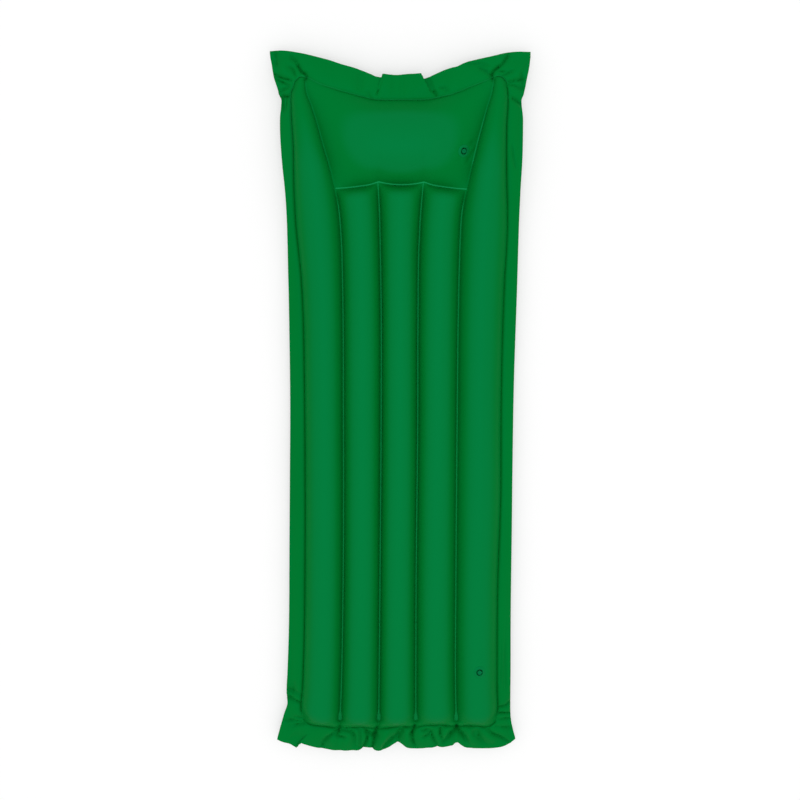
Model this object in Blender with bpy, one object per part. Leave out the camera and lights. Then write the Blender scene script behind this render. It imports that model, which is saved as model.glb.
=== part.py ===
"""Pool air mattress: five lengthwise air tubes and a pillow, welded from two films, with two push-in valves.

Metres, +Z up. +X is to the right and +Y towards the pillow end, seen from above. The origin is on the ground
under the middle of the mattress.
"""

import math

import bmesh
import bpy
import numpy as np
from mathutils import Matrix, Vector

# Film and welds
FILM = 0.00025
WELD_GAP = 0.0005
WELD_HALF_WIDTH = 0.0018

# Inflated heights, from the welds' level to a crown
TUBE_RISE = 0.035
FULLEST_TUBE = 0.84
PILLOW_RISE = 0.049
PILLOW_FULLNESS = 0.060

# Level of the welds above the ground, along the tubes and round the pillow
TUBE_LEVEL = TUBE_RISE
PILLOW_LEVEL = 0.049
LEVEL_RISES_FROM = 0.42
LEVEL_RISES_TO = 0.66

# Outlines that run along the mattress, as (place along the length, distance from the middle line)
LEFT_INNER_SEAM = [(-0.79, 0.0495), (-0.45, 0.0478), (0.00, 0.0465), (0.25, 0.0472), (0.43, 0.0505),
                   (0.50, 0.0525), (0.57, 0.0565), (0.763, 0.0700), (0.83, 0.0480)]
RIGHT_INNER_SEAM = [(-0.79, 0.0455), (-0.45, 0.0435), (0.00, 0.0442), (0.25, 0.0428), (0.43, 0.0440),
                    (0.50, 0.0475), (0.57, 0.0530), (0.763, 0.0700), (0.83, 0.0480)]
LEFT_OUTER_SEAM = [(-0.82, 0.1500), (-0.70, 0.1455), (-0.45, 0.1410), (0.00, 0.1398), (0.30, 0.1412),
                   (0.43, 0.1445), (0.50, 0.1500), (0.555, 0.1595), (0.60, 0.1700), (0.66, 0.1880),
                   (0.70, 0.1990), (0.74, 0.2115), (0.785, 0.2270), (0.81, 0.2280), (0.87, 0.2380)]
RIGHT_OUTER_SEAM = [(-0.82, 0.1505), (-0.70, 0.1463), (-0.45, 0.1440), (0.00, 0.1418), (0.30, 0.1415),
                    (0.43, 0.1435), (0.50, 0.1470), (0.556, 0.1570), (0.60, 0.1665), (0.66, 0.1802),
                    (0.70, 0.1905), (0.74, 0.2010), (0.78, 0.2125), (0.815, 0.2190), (0.87, 0.2380)]
LEFT_WELD = [(-0.88, 0.2680), (-0.826, 0.2490), (-0.800, 0.2430), (-0.770, 0.2500), (-0.71, 0.2465),
             (-0.60, 0.2420), (-0.40, 0.2385), (0.10, 0.2372), (0.26, 0.2400), (0.36, 0.2455),
             (0.45, 0.2550), (0.60, 0.2600), (0.74, 0.2645), (0.775, 0.2640), (0.800, 0.2560),
             (0.83, 0.2640), (0.88, 0.2850)]
RIGHT_WELD = [(-0.88, 0.2700), (-0.826, 0.2560), (-0.800, 0.2510), (-0.770, 0.2560), (-0.71, 0.2545),
              (-0.60, 0.2525), (-0.20, 0.2515), (0.01, 0.2490), (0.26, 0.2490), (0.36, 0.2525),
              (0.44, 0.2590), (0.50, 0.2580), (0.60, 0.2530), (0.70, 0.2515), (0.775, 0.2530),
              (0.803, 0.2500), (0.83, 0.2580), (0.88, 0.2850)]
LEFT_EDGE = [(-0.88, 0.3130), (-0.850, 0.3115), (-0.80, 0.2985), (-0.760, 0.2875), (-0.70, 0.2840),
             (-0.58, 0.2799), (-0.27, 0.2752), (0.04, 0.2716), (0.33, 0.2739), (0.55, 0.2794),
             (0.62, 0.2861), (0.70, 0.2895), (0.752, 0.2865), (0.785, 0.2950), (0.838, 0.3080),
             (0.88, 0.3120)]
RIGHT_EDGE = [(-0.88, 0.3060), (-0.841, 0.3020), (-0.79, 0.2900), (-0.733, 0.2875), (-0.58, 0.2853),
              (-0.27, 0.2823), (0.04, 0.2804), (0.33, 0.2839), (0.55, 0.2867), (0.70, 0.2895),
              (0.755, 0.2855), (0.786, 0.2915), (0.842, 0.3015), (0.88, 0.3035)]

# Outlines that run across the mattress, as (place across it, place along the length)
HEAD_WELD = [(-0.31, 0.8120), (-0.254, 0.8035), (-0.241, 0.8140), (-0.226, 0.8125), (-0.200, 0.8000),
             (-0.160, 0.7865), (-0.120, 0.7755), (-0.070, 0.7635), (0.0, 0.7620), (0.070, 0.7645),
             (0.120, 0.7760), (0.160, 0.7920), (0.200, 0.8080), (0.222, 0.8180), (0.236, 0.8170),
             (0.250, 0.8035), (0.31, 0.8150)]
HEAD_EDGE = [(-0.315, 0.8715), (-0.288, 0.8735), (-0.230, 0.8660), (-0.170, 0.8515), (-0.104, 0.8320),
             (-0.060, 0.8150), (-0.046, 0.8200), (0.0, 0.8195), (0.047, 0.8210), (0.062, 0.8145),
             (0.118, 0.8365), (0.155, 0.8500), (0.222, 0.8655), (0.265, 0.8735), (0.305, 0.8738)]
FOOT_WELD = [(-0.31, -0.8100), (-0.246, -0.7920), (-0.240, -0.7995), (-0.228, -0.8070), (-0.205, -0.8110),
             (-0.150, -0.8190), (-0.098, -0.8145), (-0.055, -0.8205), (0.0, -0.8130), (0.045, -0.8145),
             (0.100, -0.8080), (0.152, -0.8140), (0.190, -0.8095), (0.230, -0.8115), (0.242, -0.8060),
             (0.252, -0.7960), (0.31, -0.8160)]
FOOT_EDGE = [(-0.315, -0.8480), (-0.266, -0.8645), (-0.251, -0.8580), (-0.205, -0.8720),
             (-0.140, -0.8775), (-0.098, -0.8765), (-0.080, -0.8700), (-0.050, -0.8785), (0.002, -0.8550),
             (0.034, -0.8710), (0.100, -0.8670), (0.140, -0.8630), (0.150, -0.8525), (0.165, -0.8640),
             (0.190, -0.8690), (0.252, -0.8685), (0.304, -0.8430)]
PILLOW_WELD = [(0.0545, 0.569), (0.075, 0.5625), (0.10, 0.5585), (0.140, 0.5540), (0.158, 0.5530),
               (0.26, 0.5530)]
PILLOW_WELD_DIP = 0.0065

# Seams, as (place along the length, half width): each ends in a drop short of the foot weld
SEAM_HALF_WIDTH = [(-0.8200, 0.0007), (-0.7995, 0.0007), (-0.7965, 0.0036), (-0.7900, 0.0045),
                   (-0.7700, 0.0024), (-0.7450, 0.0018)]

# Ends of the chambers
TUBE_FOOT_ROUND = 0.032
TUBE_HEAD_ROUND = 0.042
SIDE_TIP_ROUND = 0.030
SEAM_STOPS_SHORT = 0.018
PASSAGE_FILL = 0.14

# Skirt: its crest beside the welds, its droop, and its gathers as (place across, height at the edge)
SIDE_SKIRT_WIDTH = 0.030
END_SKIRT_WIDTH = 0.055
SKIRT_CREST = 0.0035
CREST_REACH = 0.0045
SKIRT_DROOP = 0.0080
SIDE_RUFFLE = 0.0016
SIDE_RUFFLE_LENGTH = 0.31
FOOT_GATHERS = [(-0.31, 0.001), (-0.255, -0.003), (-0.200, 0.003), (-0.152, -0.004), (-0.110, 0.004),
                (-0.060, -0.006), (-0.028, 0.005), (0.002, -0.003), (0.022, 0.004), (0.042, -0.004),
                (0.066, 0.004), (0.096, -0.003), (0.124, 0.003), (0.151, -0.004), (0.188, 0.004),
                (0.245, -0.003), (0.31, 0.001)]
HEAD_GATHERS = [(-0.31, 0.004), (-0.252, -0.004), (-0.190, 0.003), (-0.085, -0.001), (-0.055, -0.002),
                (-0.045, 0.003), (0.0, 0.002), (0.047, 0.004), (0.062, -0.002), (0.125, 0.002),
                (0.180, 0.003), (0.240, -0.004), (0.31, 0.004)]

# Valves, along their own axis from the film's outer face, which is height 0
VALVE_SEGMENTS = 20
HOLE_RADIUS = 0.0100
HOLE_CUTTER_LENGTH = 0.012
FLANGE_RADIUS = 0.0150
FLANGE_BORE = 0.0088
FLANGE_THICKNESS = 0.0008
SEAT_GAP = 0.0003
STEM_RADIUS = 0.0050
STEM_BEAD_RADIUS = 0.0055
STEM_BORE = 0.0036
STEM_TOP = 0.0006
STEM_BOTTOM = -0.0150
COLLAR_RADIUS = 0.0053
COLLAR_HEIGHT = 0.0014
NECK_WALL = 0.0007
NECK_PATH = [(0.00815, 0.0008), (0.00815, -0.0016), (0.0071, -0.0090), (0.0067, -0.0122),
             (0.0060, -0.0143)]
PLUG_PIN_RADIUS = 0.0032
PLUG_PIN_TIP_RADIUS = 0.0029
PLUG_PIN_LENGTH = 0.0075
PLUG_CAP_RADIUS = 0.0055
PLUG_CAP_THICKNESS = 0.0012
FLAP_RADIUS = 0.0044
FLAP_THICKNESS = 0.0005
STRAP_WIDTH = 0.0014
STRAP_THICKNESS = 0.0005
STRAP_PATH = [(-0.0026, 0.00550, -0.0012), (-0.0024, 0.00580, -0.0031), (-0.0014, 0.00598, -0.0048),
              (0.0, 0.00606, -0.0054), (0.0014, 0.00598, -0.0048), (0.0024, 0.00600, -0.0028),
              (0.0027, 0.00605, -0.0006), (0.0027, 0.00605, 0.0014)]
MAIN_VALVE_PLACE = (0.2050, -0.6515)
PILLOW_VALVE_PLACE = (0.1480, 0.6420)

# Steps across a tube, along the tubes and the pillow, and over the skirt from its weld to its edge
TUBE_STEPS = [0, 0.10, 0.275, 0.43, 0.57, 0.725, 0.90, 1]
TUBE_ROWS = [0, 0.0035, 0.008, 0.0125, 0.019, 0.032, 0.085, 0.36, 0.66, 0.86, 0.945, 0.976, 0.990, 0.996, 1]
PILLOW_ROWS = [0, 0.05, 0.15, 0.32, 0.5, 0.68, 0.85, 0.95, 1]
SIDE_STEPS = [0, 0.25, 1]
END_STEPS = [0, 0.2, 0.6, 1]

# Colours, linear
FILM_GREEN = (0.0025, 0.209, 0.052, 1.0)
VALVE_GREEN = (0.0040, 0.165, 0.050, 1.0)
PLUG_GREEN = (0.0060, 0.120, 0.055, 1.0)


def clear_scene():
    """Remove every object of the opened scene."""
    for found in list(bpy.data.objects):
        bpy.data.objects.remove(found, do_unlink=True)


def through(stations, value):
    """Smooth curve through a few (place, size) points, level beyond both ends."""
    place, size = np.array(stations).T
    slope = np.gradient(size, place)
    value = np.clip(value, place[0], place[-1])
    k = np.clip(np.searchsorted(place, value, side="right") - 1, 0, len(place) - 2)
    span = place[k + 1] - place[k]
    t = (value - place[k]) / span
    before = (1 + 2 * t) * (1 - t) ** 2 * size[k] + t * (1 - t) ** 2 * span * slope[k]
    after = t * t * (3 - 2 * t) * size[k + 1] + t * t * (t - 1) * span * slope[k + 1]
    return before + after


def smooth_step(t):
    """Ease from 0 to 1 with level ends."""
    t = np.clip(t, 0.0, 1.0)
    return t * t * (3 - 2 * t)


# Lines along the mattress, from its left edge to its right edge
EDGE_LINE, WELD_LINE, OUTER_LINE, INNER_LINE = 4, 3, 2, 1
LINES_ALONG = [-EDGE_LINE, -WELD_LINE, -OUTER_LINE, -INNER_LINE, INNER_LINE, OUTER_LINE, WELD_LINE, EDGE_LINE]
LINE_STATIONS = {-EDGE_LINE: LEFT_EDGE, -WELD_LINE: LEFT_WELD, -OUTER_LINE: LEFT_OUTER_SEAM,
                 -INNER_LINE: LEFT_INNER_SEAM, INNER_LINE: RIGHT_INNER_SEAM, OUTER_LINE: RIGHT_OUTER_SEAM,
                 WELD_LINE: RIGHT_WELD, EDGE_LINE: RIGHT_EDGE}


def line_along(line, y):
    """Place across the mattress of one of the lines that run along it."""
    return math.copysign(1, line) * through(LINE_STATIONS[line], y)


def away(line, x, y):
    """Distance from the middle of a line that runs along the mattress, on the side on which x lies."""
    return np.where(x < 0, through(LINE_STATIONS[-line], y), through(LINE_STATIONS[line], y))


def seam_half_width(y):
    """Half width of a seam's welded strip, which ends in a drop."""
    return through(SEAM_HALF_WIDTH, y)


def pillow_weld(x):
    """Three scallops, with their peaks at the two inner seams."""
    x = np.abs(x)
    peak, top = PILLOW_WELD[0]
    middle = top - PILLOW_WELD_DIP * (1 - (np.minimum(x, peak) / peak) ** 2)
    return np.where(x < peak, middle, through(PILLOW_WELD, x))


def foot_edge(x):
    """Foot end of the skirt, drawn up where the gathers fold it."""
    return through(FOOT_EDGE, x)


def head_edge(x):
    """Head end of the skirt, level over the box pleat."""
    return through(HEAD_EDGE, x)


def foot_weld(x):
    """Foot weld with its two rounded corners, drawn out a little at each seam."""
    return through(FOOT_WELD, x)


def head_weld(x):
    """Head weld, drawn in over the pillow and rounded at the side tubes' tips."""
    return through(HEAD_WELD, x)


def weld_level(y):
    """Height of the welds above the ground."""
    rise = smooth_step((y - LEVEL_RISES_FROM) / (LEVEL_RISES_TO - LEVEL_RISES_FROM))
    return TUBE_LEVEL + (PILLOW_LEVEL - TUBE_LEVEL) * rise


def end_fill(distance, length):
    """How full a tube is at a distance from the weld that closes it."""
    return 1 - (1 - np.clip(distance / length, 0.0, 1.0)) ** 2


def tube_rise(place, y, span, ends, head_round):
    """Rise of the film over one tube, a round section that closes towards its ends.

    The place is across the tube, between the two lines of its span. The ends are its foot and its head weld.
    """
    half = (span[1] - span[0]) / 2 - seam_half_width(y)
    across = np.clip((place - (span[0] + span[1]) / 2) / half, -1.0, 1.0)
    rise = np.minimum(TUBE_RISE, FULLEST_TUBE * half)
    flatness = (half ** 2 - rise ** 2) / (2 * rise)
    from_foot = y - ends[0] - WELD_HALF_WIDTH
    from_head = ends[1] - y - WELD_HALF_WIDTH
    passage = np.clip(from_foot / SEAM_STOPS_SHORT, 0.0, 1.0)
    section = 1 - across ** 2 * (1 - PASSAGE_FILL * 4 * passage * (1 - passage))
    fill = section * end_fill(from_foot, TUBE_FOOT_ROUND) * end_fill(from_head, head_round)
    return np.sqrt(flatness ** 2 + half ** 2 * fill) - flatness


def pillow_rise(x, y):
    """Rise of the film over the pillow."""
    half = away(OUTER_LINE, x, y) - WELD_HALF_WIDTH
    low = pillow_weld(x) + WELD_HALF_WIDTH
    high = head_weld(x) - WELD_HALF_WIDTH
    across = np.clip(np.abs(x) / half, 0.0, 1.0)
    along = np.clip((2 * y - low - high) / (high - low), -1.0, 1.0)
    fill = (1 - across ** 2) * (1 - along ** 2)
    lift = PILLOW_RISE ** 2 + 2 * PILLOW_RISE * PILLOW_FULLNESS
    return np.sqrt(PILLOW_FULLNESS ** 2 + lift * fill) - PILLOW_FULLNESS


def film_rise(x, y):
    """Rise of the film over the level of the welds, everywhere inside the skirt."""
    distance = np.abs(x)
    inner, outer, weld = (away(line, x, y) for line in (INNER_LINE, OUTER_LINE, WELD_LINE))
    foot, pillow, head = foot_weld(x), pillow_weld(x), head_weld(x)
    middle_span = (line_along(-INNER_LINE, y), line_along(INNER_LINE, y))
    centre = tube_rise(x, y, middle_span, (foot, pillow), TUBE_HEAD_ROUND)
    middle = tube_rise(distance, y, (inner, outer), (foot, pillow), TUBE_HEAD_ROUND)
    side = tube_rise(distance, y, (outer, weld), (foot, head), SIDE_TIP_ROUND)
    below_pillow = np.where(distance < inner, centre, middle)
    between_seams = np.where(y > pillow, pillow_rise(x, y), below_pillow)
    rise = np.where(distance < outer, between_seams, side)
    inside = (distance < weld) & (y > foot) & (y < head)
    return np.where(inside, rise, 0.0)


def skirt_level(x, y):
    """Level of the welded films: flat inside, crested beside the welds, then drooping and gathered."""
    beside = np.abs(x) - away(WELD_LINE, x, y)
    beyond_head = y - head_weld(x)
    beyond_foot = foot_weld(x) - y
    side = np.clip(beside / SIDE_SKIRT_WIDTH, 0.0, 1.0)
    head = np.clip(beyond_head / END_SKIRT_WIDTH, 0.0, 1.0)
    foot = np.clip(beyond_foot / END_SKIRT_WIDTH, 0.0, 1.0)
    outside = np.maximum(0.0, np.maximum(beside, np.maximum(beyond_head, beyond_foot)))
    crest = SKIRT_CREST * (1 - np.exp(-(outside / CREST_REACH) ** 2))
    droop = SKIRT_DROOP * np.maximum(side, np.maximum(head, foot)) ** 2
    gathers = foot * through(FOOT_GATHERS, x) + head * through(HEAD_GATHERS, x)
    side_wave = SIDE_RUFFLE * np.sin(2 * np.pi * y / SIDE_RUFFLE_LENGTH)
    return weld_level(y) + crest - droop + gathers + side * (1 - np.maximum(head, foot)) * side_wave


def film_face(x, y, side):
    """Height of a film's outer face, where side is 1 for the upper film and -1 for the lower one."""
    offset = WELD_GAP / 2 + FILM + film_rise(x, y)
    height = skirt_level(x, y) + side * offset
    return np.maximum(height, 0.0)


def spread(first, last, fractions):
    """Lines between two lines, each a function of the place along them."""
    made = []
    for fraction in fractions:
        def place(value, part=fraction):
            return first(value) + (last(value) - first(value)) * part
        made.append(place)
    return made


def turned_round(steps):
    """The same steps, counted from the other end."""
    return [1 - step for step in reversed(steps)]


def strip_side(line, way):
    """Right side (way 1) or left side (way -1) of the welded strip on a line that runs along the mattress."""
    if abs(line) == EDGE_LINE:
        return lambda y: line_along(line, y)
    if abs(line) == WELD_LINE:
        return lambda y: line_along(line, y) + way * WELD_HALF_WIDTH
    return lambda y: line_along(line, y) + way * seam_half_width(y)


def columns(tube_steps, skirt_steps):
    """Lines along the mattress, in order from left to right, with a narrow strip over each weld."""
    made = []
    for left, right in zip(LINES_ALONG, LINES_ALONG[1:]):
        steps = tube_steps
        if left == -EDGE_LINE:
            steps = turned_round(skirt_steps)
        elif right == EDGE_LINE:
            steps = skirt_steps
        made += spread(strip_side(left, 1), strip_side(right, -1), steps)
    return made


def weld_side(line, way):
    """Head side (way 1) or foot side (way -1) of the welded strip on a line that runs across the mattress."""
    return lambda x: line(x) + way * WELD_HALF_WIDTH


def rows(tube_steps, pillow_steps, skirt_steps):
    """Lines across the mattress, in order from foot to head, with a narrow strip over each weld."""
    return (spread(foot_edge, weld_side(foot_weld, -1), turned_round(skirt_steps))
            + spread(weld_side(foot_weld, 1), weld_side(pillow_weld, -1), tube_steps)
            + spread(weld_side(pillow_weld, 1), weld_side(head_weld, -1), pillow_steps)
            + spread(weld_side(head_weld, 1), head_edge, skirt_steps))


def crossings(across, along):
    """Where each line across meets each line along, found by going back and forth between them."""
    y = np.zeros((len(across), len(along)))
    x = np.zeros_like(y)
    for _ in range(12):
        x = np.stack([line(y[:, k]) for k, line in enumerate(along)], axis=1)
        y = np.stack([line(x[k, :]) for k, line in enumerate(across)], axis=0)
    return x, y


def plain_material(name, colour, roughness):
    """Principled material of one moulded or rolled plastic."""
    made = bpy.data.materials.new(name)
    made.use_nodes = True
    shader = made.node_tree.nodes["Principled BSDF"]
    shader.inputs["Base Color"].default_value = colour
    shader.inputs["Roughness"].default_value = roughness
    shader.inputs["Metallic"].default_value = 0.0
    return made


def add_object(name, bm, material, smooth_angle=math.radians(40)):
    """Turn a bmesh into a named, smooth-shaded object."""
    mesh = bpy.data.meshes.new(name)
    bm.to_mesh(mesh)
    bm.free()
    mesh.materials.append(material)
    mesh.shade_smooth()
    mesh.set_sharp_from_angle(angle=smooth_angle)
    made = bpy.data.objects.new(name, mesh)
    bpy.context.scene.collection.objects.link(made)
    return made


def add_sheet(name, side, across, along, material):
    """One film: a grid laid on the welds' lines, raised over the chambers and given the film's thickness."""
    x, y = crossings(across, along)
    z = film_face(x, y, side)
    bm = bmesh.new()
    bmesh.ops.create_grid(bm, x_segments=len(along) - 1, y_segments=len(across) - 1, size=1.0)
    bm.verts.ensure_lookup_table()
    for vertex in bm.verts:
        row, column = divmod(vertex.index, len(along))
        vertex.co = Vector((x[row, column], y[row, column], z[row, column]))
    if side < 0:
        bmesh.ops.reverse_faces(bm, faces=bm.faces[:])
    sheet = add_object(name, bm, material, math.radians(50))
    wall = sheet.modifiers.new("film", "SOLIDIFY")
    wall.thickness = FILM
    wall.offset = -1.0
    wall.use_even_offset = True
    return sheet


def valve_frame(place):
    """Matrix of a valve: its axis stands square on the upper film, with height 0 on the film's outer face."""
    step = 0.002
    x, y = place
    slope_x = (film_face(x + step, y, 1) - film_face(x - step, y, 1)) / (2 * step)
    slope_y = (film_face(x, y + step, 1) - film_face(x, y - step, 1)) / (2 * step)
    axis = Vector((-float(slope_x), -float(slope_y), 1.0)).normalized()
    across = Vector((0.0, 1.0, 0.0)).cross(axis).normalized()
    along = axis.cross(across)
    origin = Vector((x, y, float(film_face(x, y, 1))))
    return Matrix.Translation(origin) @ Matrix((across, along, axis)).transposed().to_4x4()


def on_film(frame, radius, angle):
    """Point of the upper film's outer face, seen along a valve's axis, in the valve's own frame."""
    axis = frame.to_3x3() @ Vector((0.0, 0.0, 1.0))
    point = frame @ Vector((radius * math.cos(angle), radius * math.sin(angle), 0.0))
    for _ in range(8):
        above = float(film_face(point.x, point.y, 1)) - point.z
        point = point + axis * (above * axis.z)
    return frame.inverted() @ point


def turned(profile, closed):
    """Body of revolution about +Z from (radius, height) points that run down its outer side."""
    bm = bmesh.new()
    ring = [bm.verts.new((radius, 0.0, height)) for radius, height in profile]
    pairs = list(zip(ring, ring[1:]))
    if closed:
        pairs.append((ring[-1], ring[0]))
    edges = [bm.edges.new(pair) for pair in pairs]
    bmesh.ops.spin(bm, geom=ring + edges, cent=(0, 0, 0), axis=(0, 0, 1), angle=2 * math.pi,
                   steps=VALVE_SEGMENTS, use_merge=True, use_duplicate=False)
    bmesh.ops.remove_doubles(bm, verts=bm.verts[:], dist=1e-6)
    bmesh.ops.recalc_face_normals(bm, faces=bm.faces[:])
    return bm


def add_placed(name, bm, frame, material):
    """Object of a valve's piece, made in the valve's own frame and placed in it."""
    made = add_object(name, bm, material)
    made.matrix_world = frame
    return made


def flange_bmesh(frame):
    """Ring that lies on the film and follows its curve, with a rounded outer rim."""
    bm = bmesh.new()
    radii = [FLANGE_BORE, (FLANGE_BORE + FLANGE_RADIUS) / 2, FLANGE_RADIUS - 0.0004, FLANGE_RADIUS]
    tops = [FLANGE_THICKNESS, FLANGE_THICKNESS, FLANGE_THICKNESS, FLANGE_THICKNESS * 0.55]
    loops = []
    for k in range(VALVE_SEGMENTS):
        angle = 2 * math.pi * k / VALVE_SEGMENTS
        loop = []
        for radius, top in zip(radii, tops):
            point = on_film(frame, radius, angle)
            loop.append(bm.verts.new(point + Vector((0.0, 0.0, SEAT_GAP + top))))
        for radius in reversed(radii[:-1]):
            point = on_film(frame, radius, angle)
            loop.append(bm.verts.new(point + Vector((0.0, 0.0, SEAT_GAP))))
        loops.append(loop)
    count = len(loops[0])
    for k, loop in enumerate(loops):
        after = loops[(k + 1) % VALVE_SEGMENTS]
        for i in range(count):
            j = (i + 1) % count
            bm.faces.new((loop[i], loop[j], after[j], after[i]))
    bmesh.ops.recalc_face_normals(bm, faces=bm.faces[:])
    return bm


def neck_bmesh():
    """Thin collar, rolled inwards: it hangs from the flange's bore and turns in under the stem's collar."""
    half = NECK_WALL / 2
    outside = [(radius + half, height) for radius, height in NECK_PATH]
    inside = [(radius - half, height) for radius, height in reversed(NECK_PATH)]
    lip_radius = COLLAR_RADIUS + SEAT_GAP
    lip = [(lip_radius + half, STEM_BOTTOM), (lip_radius, STEM_BOTTOM + half)]
    return turned(outside + lip + inside, closed=True)


def stem_bmesh():
    """Short tube with a bead round its mouth and a collar round its foot."""
    bead_low = STEM_TOP - 0.0014
    profile = [(STEM_BORE + 0.0003, STEM_TOP), (STEM_BEAD_RADIUS - 0.0003, STEM_TOP),
               (STEM_BEAD_RADIUS, STEM_TOP - 0.0003), (STEM_BEAD_RADIUS, bead_low + 0.0003),
               (STEM_RADIUS, bead_low), (STEM_RADIUS, STEM_BOTTOM + COLLAR_HEIGHT + 0.0003),
               (COLLAR_RADIUS, STEM_BOTTOM + COLLAR_HEIGHT), (COLLAR_RADIUS, STEM_BOTTOM),
               (STEM_BORE, STEM_BOTTOM), (STEM_BORE, STEM_TOP - 0.0003)]
    return turned(profile, closed=True)


def plug_bmesh():
    """Tapered pin under a domed cap."""
    seat = STEM_TOP + SEAT_GAP
    top = seat + PLUG_CAP_THICKNESS
    profile = [(0.0, top), (PLUG_CAP_RADIUS * 0.35, top), (PLUG_CAP_RADIUS * 0.45, top - 0.0003),
               (PLUG_CAP_RADIUS * 0.80, top - 0.0002), (PLUG_CAP_RADIUS, top - 0.0006),
               (PLUG_CAP_RADIUS, seat), (PLUG_PIN_RADIUS, seat),
               (PLUG_PIN_RADIUS, seat - PLUG_PIN_LENGTH * 0.45),
               (PLUG_PIN_TIP_RADIUS, seat - PLUG_PIN_LENGTH + 0.0006),
               (PLUG_PIN_TIP_RADIUS - 0.0006, seat - PLUG_PIN_LENGTH), (0.0, seat - PLUG_PIN_LENGTH)]
    bm = turned(profile, closed=False)
    add_finger_tab(bm)
    return bm


def add_finger_tab(bm):
    """Draw the cap's edge out on one side into the small tab that a finger lifts."""
    rim = [face for face in bm.faces
           if abs(face.normal.z) < 0.1 and face.calc_center_median().xy.length > PLUG_CAP_RADIUS * 0.95
           and face.calc_center_median().x > PLUG_CAP_RADIUS * 0.90]
    drawn = bmesh.ops.extrude_face_region(bm, geom=rim)["geom"]
    for vertex in [item for item in drawn if isinstance(item, bmesh.types.BMVert)]:
        vertex.co.x += 0.0016
    bmesh.ops.delete(bm, geom=rim, context="FACES")
    bmesh.ops.recalc_face_normals(bm, faces=bm.faces[:])


def flap_bmesh():
    """Thin disc under the stem's foot, hinged on its rim at +X."""
    top = STEM_BOTTOM - SEAT_GAP
    low = top - FLAP_THICKNESS
    profile = [(0.0, top), (FLAP_RADIUS, top), (FLAP_RADIUS, low + 0.0001), (FLAP_RADIUS - 0.0003, low),
               (0.0, low)]
    return turned(profile, closed=False)


def strap_bmesh():
    """Thin strip in the gap at the stem's -X side: from under its bead, down, along and up to the cap."""
    bm = bmesh.new()
    sections = []
    for k, (along, radius, height) in enumerate(STRAP_PATH):
        ahead = Vector(STRAP_PATH[min(k + 1, len(STRAP_PATH) - 1)])
        behind = Vector(STRAP_PATH[max(k - 1, 0)])
        direction = (ahead - behind).xz.normalized()
        normal = Vector((-direction.y, direction.x)) * (STRAP_THICKNESS / 2)
        section = []
        for side, sign in ((-1, -1), (1, -1), (1, 1), (-1, 1)):
            out = radius + side * STRAP_WIDTH / 2
            section.append(bm.verts.new((-out, along + sign * normal.x, height + sign * normal.y)))
        sections.append(section)
    for near, far in zip(sections, sections[1:]):
        for i in range(4):
            j = (i + 1) % 4
            bm.faces.new((near[i], near[j], far[j], far[i]))
    bm.faces.new(sections[0])
    bm.faces.new(sections[-1])
    bmesh.ops.recalc_face_normals(bm, faces=bm.faces[:])
    return bm


def add_hole(sheet, frame):
    """Cut the valve's round hole through the upper film."""
    bm = bmesh.new()
    bmesh.ops.create_cone(bm, cap_ends=True, segments=VALVE_SEGMENTS, radius1=HOLE_RADIUS,
                          radius2=HOLE_RADIUS, depth=HOLE_CUTTER_LENGTH)
    cutter = add_object(sheet.name + "_hole", bm, sheet.data.materials[0])
    cutter.matrix_world = frame
    cutter.hide_render = True
    cutter.display_type = "WIRE"
    cut = sheet.modifiers.new("valve hole", "BOOLEAN")
    cut.operation = "DIFFERENCE"
    cut.object = cutter


def add_valve(name, place, sheet, valve_material, plug_material):
    """One push-in valve, pushed in and stoppered, standing square on the upper film."""
    frame = valve_frame(place)
    add_hole(sheet, frame)
    add_placed(name + "_flange", flange_bmesh(frame), frame, valve_material)
    add_placed(name + "_neck", neck_bmesh(), frame, valve_material)
    add_placed(name + "_stem", stem_bmesh(), frame, valve_material)
    add_placed(name + "_flap", flap_bmesh(), frame, valve_material)
    add_placed(name + "_plug", plug_bmesh(), frame, plug_material)
    add_placed(name + "_strap", strap_bmesh(), frame, plug_material)


def build():
    """Make every piece of the mattress."""
    clear_scene()
    film = plain_material("green_film", FILM_GREEN, 0.42)
    valve = plain_material("valve_vinyl", VALVE_GREEN, 0.40)
    plug = plain_material("plug_vinyl", PLUG_GREEN, 0.38)
    across = rows(TUBE_ROWS, PILLOW_ROWS, END_STEPS)
    along = columns(TUBE_STEPS, SIDE_STEPS)
    top = add_sheet("top_sheet", 1, across, along, film)
    add_sheet("bottom_sheet", -1, across, along, film)
    add_valve("main_valve", MAIN_VALVE_PLACE, top, valve, plug)
    add_valve("pillow_valve", PILLOW_VALVE_PLACE, top, valve, plug)


build()
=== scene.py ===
"""Looks of the pool air mattress: two welded vinyl films, two push-in valves, and the studio round them.

Metres, +Z up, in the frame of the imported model. +Y is the pillow end and +X the right-hand side from above.
"""

import logging
import math
from collections.abc import Callable
from dataclasses import dataclass, field
from enum import Enum

import bpy
import numpy as np
from mathutils import Matrix, Vector

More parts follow.
